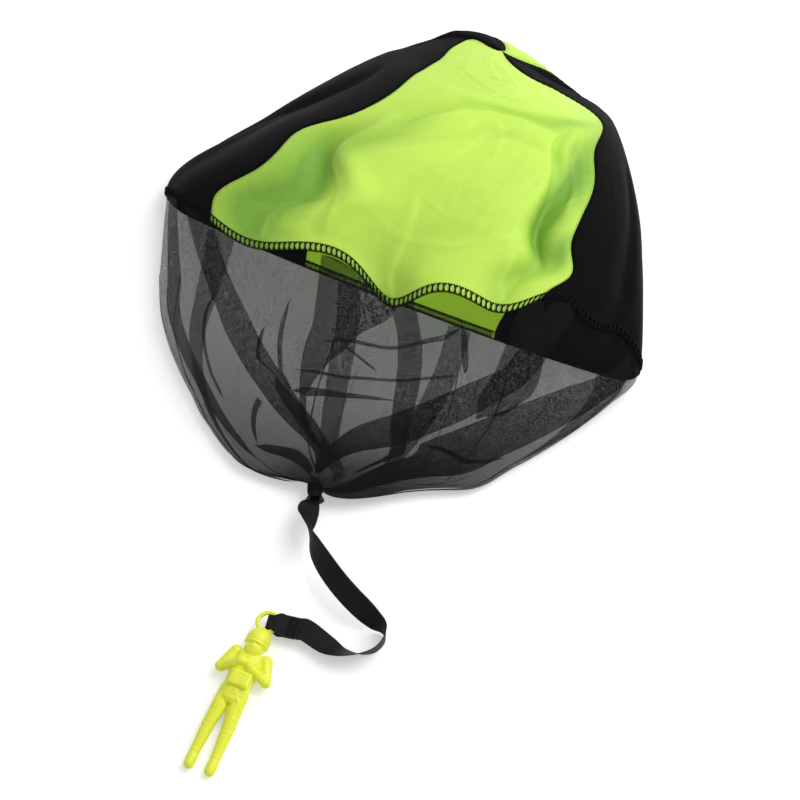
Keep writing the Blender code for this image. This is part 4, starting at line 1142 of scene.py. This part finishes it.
def woven_ribbon(name):
    """Ribbed ribbon: fine ribs across it with a painted highlight on their backs, a firmer edge at
    both sides that is painted lighter as a reflection, and a dull satin face.
    """
    material, flow = new_finish(name, Roughness=0.5, Specular_IOR_Level=0.07)
    across, down = cloth_places(flow)
    ribs = ridges(down * (math.pi / RIB_PITCH))
    threads = ridges(across * (math.pi / RIBBON_THREAD_PITCH))
    off_middle = flow.math("ABSOLUTE", across)
    edge = flow.math("GREATER_THAN", off_middle, RIBBON_WIDTH / 2 - RIBBON_EDGE)
    # Painted highlight on the ribs' backs and painted reflection along both edges, with random
    # tone, lift the black toward RIBBON_SHINE.
    tone = flow.math("MINIMUM", ribs * 0.35 + noise(flow, 90.0, 2.0) * 0.35 + edge * 0.5, 1.0)
    height = ribs * 0.8 + threads * 0.3 + edge * 0.6
    colour = mix(tone, RIBBON_BLACK, RIBBON_SHINE)
    flow.into(Base_Color=colour, Normal=bump(height, 0.7, 0.00012))
    return material


ribbon_cloth = woven_ribbon("Black ribbon")
eye_angle = FIGURE_TURN + EYE_TURN
eye_away = np.array([math.cos(eye_angle), math.sin(eye_angle), 0.0])
eye_across = np.array([-math.sin(eye_angle), math.cos(eye_angle), 0.0])
# Heights of the ribbon's two layers off the ring's centre, round its wire and where they are sewn.
open_level = RING_WIRE_RADIUS + EYE_CLEARANCE + EYE_THICKNESS / 2
sewn_level = (EYE_THICKNESS + RIBBON_GAP) / 2
ring_centre = np.array([RING_X, RING_Y, RING_HEIGHT])
ribbon_start = neck_rim + neck_way * RIBBON_EXIT_LENGTH
sewn_reach = EYE_LENGTH + EYE_TAIL_LENGTH + EYE_END_LENGTH + RIBBON_GAP / 2
ribbon_end = ring_centre + (0, 0, sewn_level) + eye_away * sewn_reach
ribbon_lead = ribbon_end + eye_away * RIBBON_LEAD_LENGTH
route = np.array([ribbon_start, *RIBBON_ROUTE, ribbon_lead, ribbon_end])
bunched_width = 2 * (NECK_RADIUS - NYLON_THICKNESS - RIBBON_GAP)


def on_route(at):
    """Places along the ribbon's route, held between its ends."""
    at = np.clip(at, 0, len(route) - 1)
    return np.stack([smooth(route[:, axis], at) for axis in range(3)], -1)


def ribbon_line(at):
    """Centre of the ribbon and its width direction at positions along its route."""
    step = 0.02
    tangent = unit(on_route(at + step) - on_route(at - step))
    side = unit(np.cross((0, 0, 1), tangent))
    tilt = np.radians(smooth(RIBBON_TILT_DEGREES, at))[:, None]
    return on_route(at), side * np.cos(tilt) + np.cross(tangent, side) * np.sin(tilt)


ribbon_at = np.linspace(0, len(route) - 1, 14 * (len(route) - 1) + 1)
ribbon_centre, ribbon_across = ribbon_line(ribbon_at)
ribbon_centre[-1] = ribbon_centre[-1] - eye_away * RIBBON_GAP * 1.5
ribbon_run = lengths(ribbon_centre, 0)
ribbon_spread = np.clip(ribbon_run / RIBBON_SPREAD_LENGTH, 0, 1)
ribbon_width = bunched_width + (RIBBON_WIDTH - bunched_width) * ribbon_spread * (2 - ribbon_spread)
ribbon_points = strip(ribbon_centre, ribbon_across, ribbon_width)
ribbon = add_ribbon("ribbon_free", ribbon_points, ribbon_cloth, "ribbon")
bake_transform(ribbon)

root_reach = np.linspace(0.0, RIBBON_ROOT_LENGTH, ROOT_STEPS)
root_centre = ribbon_start - np.outer(root_reach, neck_way)
root_across = np.repeat(ribbon_across[:1], ROOT_STEPS, 0)
root_points = strip(root_centre, root_across, np.full(ROOT_STEPS, bunched_width))
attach(add_ribbon("ribbon_bunched", root_points, ribbon_cloth, "ribbon_root"), "canopy")


def eye_line():
    """Distance from the ring's centre and height of the sewn end's strip, at even steps along it.

    Two layers run from the sewn tail to the ring and part, and a half circle round its wire
    joins them.
    """
    arc = np.radians(np.linspace(90, 270, 25))
    run = EYE_LENGTH - EYE_FOLD_REACH
    part = np.linspace(0.85, 0.15, 15)
    level = sewn_level + (open_level - sewn_level) * ramp((0.92 - part) / 0.62)
    end = EYE_END_LENGTH + RIBBON_GAP
    distance = np.concatenate(
        [
            EYE_LENGTH + EYE_TAIL_LENGTH + end * np.array([1.0, 0.5, 0.0]),
            EYE_LENGTH + EYE_TAIL_LENGTH * np.array([0.75, 0.5, 0.25, 0.0]),
            EYE_FOLD_REACH + run * part,
            EYE_FOLD_REACH + open_level * np.cos(arc),
            EYE_FOLD_REACH + run * part[::-1],
            EYE_LENGTH + EYE_TAIL_LENGTH * np.array([0.0, 0.25, 0.5, 0.75, 1.0]),
        ]
    )
    height = np.concatenate(
        [[sewn_level] * 7, level, open_level * np.sin(arc), -level[::-1], [-sewn_level] * 5]
    )
    bends = np.stack([distance, height], -1)
    run = lengths(bends, 0)
    even = np.linspace(0, run[-1], EYE_STEPS)
    return np.interp(even, run, distance), np.interp(even, run, height)


eye_distance, eye_height = eye_line()
eye_spread = (eye_distance - EYE_FOLD_REACH) / (RING_RADIUS + RING_WIRE_RADIUS - EYE_FOLD_REACH)
eye_width = EYE_FOLD_WIDTH + (RIBBON_WIDTH - EYE_FOLD_WIDTH) * ramp(eye_spread)
eye_centre = ring_centre + np.outer(eye_distance, eye_away) + np.outer(eye_height, (0, 0, 1))
eye_sides = np.repeat(eye_across[None, :], EYE_STEPS, 0)
eye_points = strip(eye_centre, eye_sides, eye_width)
eye = add_ribbon("ribbon_sewn_end", eye_points, ribbon_cloth, "ribbon_eye")
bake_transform(eye)


def box_stitches(near, far, half, level):
    """A stitched box with its two diagonals, whose thread dips into the ribbon at each stitch."""
    a, b, c, d = (near, -half), (far, -half), (far, half), (near, half)
    corners = np.array([a, b, c, d, a, c, d, b])
    run = lengths(corners, 0)
    even = np.linspace(0, run[-1], BOX_STITCH_STEPS)
    reach, shift = (np.interp(even, run, corners[:, axis]) for axis in range(2))
    dips = level + STITCH_DIP * np.sin(2 * math.pi * even / EYE_STITCH_PITCH)
    path = ring_centre + np.outer(reach, eye_away) + np.outer(shift, eye_across)
    return path + np.outer(dips, (0, 0, 1))


stitch_path = box_stitches(
    EYE_LENGTH + STITCH_END_INSET,
    EYE_LENGTH + EYE_TAIL_LENGTH - STITCH_END_INSET,
    RIBBON_WIDTH / 2 - STITCH_INSET,
    sewn_level + RIBBON_THICKNESS / 2 + STITCH_RADIUS * 0.6,
)
stitches = tube("eye_stitches", stitch_path, (0.0, 0.0, 1.0), STITCH_RADIUS, black_thread)
dress(stitches, "ribbon_end", "eye_stitching")


# Figure. One piece of yellow plastic that looks slightly clear, moulded in two halves, with a
# ring on its helmet.
# Yellow plastic, and the painted shade colour of its hollows.
PLASTIC_YELLOW = (0.92, 0.98, 0.060, 1.0)
PLASTIC_HOLLOW_SHADE = (0.78, 0.84, 0.020, 1.0)
RELIEF_SHARE = 0.75
RELIEF_EDGE = 0.0008
HOLLOW_DEPTH = 0.00025
VOXEL = 0.00034


def moulded_plastic(name):
    """Smooth moulded plastic: painted shade deeper in its hollows, a few flow marks, and a soft
    gloss.
    """
    material, flow = new_finish(
        name,
        Roughness=0.34,
        Specular_IOR_Level=0.45,
        Subsurface_Weight=0.12,
        Subsurface_Radius=(0.8, 1.0, 0.2),
        Subsurface_Scale=0.002,
    )
    marks, grain = noise(flow, 130.0, 3.0), noise(flow, 900.0, 2.0)
    # Painted shade: the plastic darkens in its hollows.
    tone = clamped(carried(flow, "painted_hollow_shade") + (marks - 0.5) * 0.3)
    colour = mix(tone, PLASTIC_YELLOW, PLASTIC_HOLLOW_SHADE)
    flow.into(Base_Color=colour, Normal=bump(marks + grain * 0.3, 0.25, 0.0001))
    return material


# Raised and sunk lines on the figure's front: ends from the ring's centre, width and height, in
# mm. Those of the first list are there once, and those of the second on both sides.
SINGLE_LINES = (
    ((-5.6, -19.6), (-3.4, -33.5), 1.7, 0.32),
    ((5.6, -19.6), (3.6, -33.5), 1.7, 0.32),
    ((-3.4, -27.0), (3.6, -27.0), 1.3, 0.25),
    ((-7.8, -44.4), (7.8, -44.4), 1.8, 0.32),
    ((0.0, -44.5), (0.0, -52.0), 0.5, -0.20),
    ((-8.8, -48.2), (8.8, -48.2), 0.6, -0.22),
    ((-4.4, -37.0), (6.4, -37.0), 0.45, -0.28),
    ((-1.6, -34.8), (-1.6, -43.0), 0.9, 0.18),
    ((3.6, -34.8), (3.6, -43.0), 0.9, 0.18),
    ((0.0, -16.6), (0.0, -18.8), 0.7, 0.45),
    ((-0.6, -18.9), (0.6, -18.9), 0.7, 0.30),
    ((-1.2, -20.5), (1.2, -20.5), 0.35, -0.20),
    ((-0.8, -21.2), (0.8, -21.2), 0.5, 0.10),
    ((-6.6, -29.0), (-6.0, -33.6), 1.0, 0.26),
    ((6.6, -29.6), (6.0, -34.0), 1.0, 0.26),
    ((-3.6, -28.2), (-1.4, -27.8), 0.4, -0.20),
    ((-3.8, -29.4), (-1.4, -29.2), 0.4, -0.20),
    ((-3.8, -30.6), (-1.5, -30.6), 0.4, -0.20),
    ((3.6, -29.4), (1.4, -29.0), 0.4, -0.20),
    ((3.8, -30.6), (1.4, -30.4), 0.4, -0.20),
    ((3.8, -31.8), (1.5, -31.8), 0.4, -0.20),
)
PAIRED_LINES = (
    ((1.0, -45.0), (8.6, -55.0), 1.4, 0.28),
    ((4.9, -15.4), (2.6, -22.0), 0.8, 0.28),
    ((2.4, -17.1), (1.4, -17.1), 0.7, -0.24),
    ((2.7, -16.1), (1.1, -16.2), 0.5, 0.20),
    ((8.3, -58.0), (5.2, -58.6), 0.5, -0.22),
    ((8.4, -61.8), (5.0, -62.0), 0.5, -0.20),
    ((8.6, -66.0), (4.0, -67.6), 0.9, -0.22),
    ((8.4, -69.0), (4.6, -70.0), 0.8, -0.18),
    ((8.8, -82.6), (3.2, -82.6), 1.0, 0.30),
    ((6.1, -84.5), (6.1, -90.5), 1.3, 0.16),
    ((7.2, -85.8), (5.0, -85.8), 0.35, -0.14),
    ((7.2, -87.4), (5.0, -87.4), 0.35, -0.14),
    ((12.6, -28.0), (9.6, -31.0), 0.9, -0.24),
    ((14.0, -31.5), (10.6, -33.0), 0.9, -0.22),
)


def moulded_relief(place, upward):
    """Height of the moulded details: flat-topped lines on the side that faces up."""
    mirrored = [((-x, y), (-u, v), *sizes) for (x, y), (u, v), *sizes in PAIRED_LINES]
    total = np.zeros(len(place))
    for start, end, width, height in (*SINGLE_LINES, *PAIRED_LINES, *mirrored):
        start, chord = np.array(start) / 1000, (np.array(end) - start) / 1000
        off = place[:, :2] - start
        at = np.clip(off @ chord / (chord @ chord), 0, 1)
        distance = np.linalg.norm(off - at[:, None] * chord, axis=1)
        total += RELIEF_SHARE * height / 1000 * ramp((width / 2000 - distance) / RELIEF_EDGE + 0.5)
    return total * ramp(upward * 2.5 + 0.2)


def hollows(mesh, points, normals):
    """How far each point lies under its neighbours' mean, spread over a few steps of the mesh."""
    edges = np.empty(len(mesh.edges) * 2, int)
    mesh.edges.foreach_get("vertices", edges)
    ends = edges.reshape(-1, 2)
    count = np.maximum(np.bincount(edges, minlength=len(points)), 1)

    def neighbours(values):
        """Mean of the values at the points that share an edge with each."""
        total = np.zeros_like(values)
        np.add.at(total, ends[:, 0], values[ends[:, 1]])
        np.add.at(total, ends[:, 1], values[ends[:, 0]])
        return total / count.reshape((-1,) + (1,) * (values.ndim - 1))

    wide = points
    for _ in range(6):
        wide = neighbours(wide)
    depth = ((wide - points) * normals).sum(-1)
    for _ in range(3):
        depth = neighbours(depth)
    return depth


plastic = moulded_plastic("Moulded yellow plastic")
figure_mesh = bpy.data.objects["figure"].data.copy()
work = bmesh.new()
work.from_mesh(figure_mesh)
bmesh.ops.remove_doubles(work, verts=work.verts, dist=1e-5)
work.to_mesh(figure_mesh)
work.free()
figure = bpy.data.objects.new("figure_moulding", figure_mesh)
bpy.context.collection.objects.link(figure)
rebuild = figure.modifiers.new("Moulding", "REMESH")
rebuild.mode, rebuild.voxel_size, rebuild.use_smooth_shade = "VOXEL", VOXEL, True
soften = figure.modifiers.new("Softened edges", "SMOOTH")
soften.factor, soften.iterations = 0.5, 8
graph = bpy.context.evaluated_depsgraph_get()
moulded = bpy.data.meshes.new_from_object(figure.evaluated_get(graph))
figure.modifiers.clear()
figure.data = moulded
moulded.name = "figure_moulding"
figure_points, figure_normals = (np.empty((len(moulded.vertices), 3)) for _ in range(2))
moulded.vertices.foreach_get("co", figure_points.reshape(-1))
moulded.vertices.foreach_get("normal", figure_normals.reshape(-1))
c, s = math.cos(FIGURE_TURN), math.sin(FIGURE_TURN)
upright = np.array([[c, -s, 0.0], [s, c, 0.0], [0.0, 0.0, 1.0]])
figure_place = (figure_points - ring_centre) @ upright
relief = moulded_relief(figure_place, figure_normals[:, 2])
figure_points = figure_points + figure_normals * relief[:, None]
moulded.vertices.foreach_set("co", figure_points.reshape(-1))
# Painted shade: how deep each point lies in a hollow, for darkening the plastic there.
painted_hollow_shade = hollows(moulded, figure_points, figure_normals) / HOLLOW_DEPTH
painted_hollow_shade = np.clip(0.25 + painted_hollow_shade, 0, 1)
moulded.attributes.new("painted_hollow_shade", "FLOAT", "POINT").data.foreach_set("value", painted_hollow_shade)
moulded.materials.clear()
moulded.materials.append(plastic)
moulded.shade_smooth()
dress(figure, "figure", "figure")


# The cloth. Each gore with its hem's thread, and each panel of net, is one sheet cut flat.
for side, piece, thread in zip(sides, gores, overlocks):
    under = "table" if side == "bottom" else "gore_bottom"
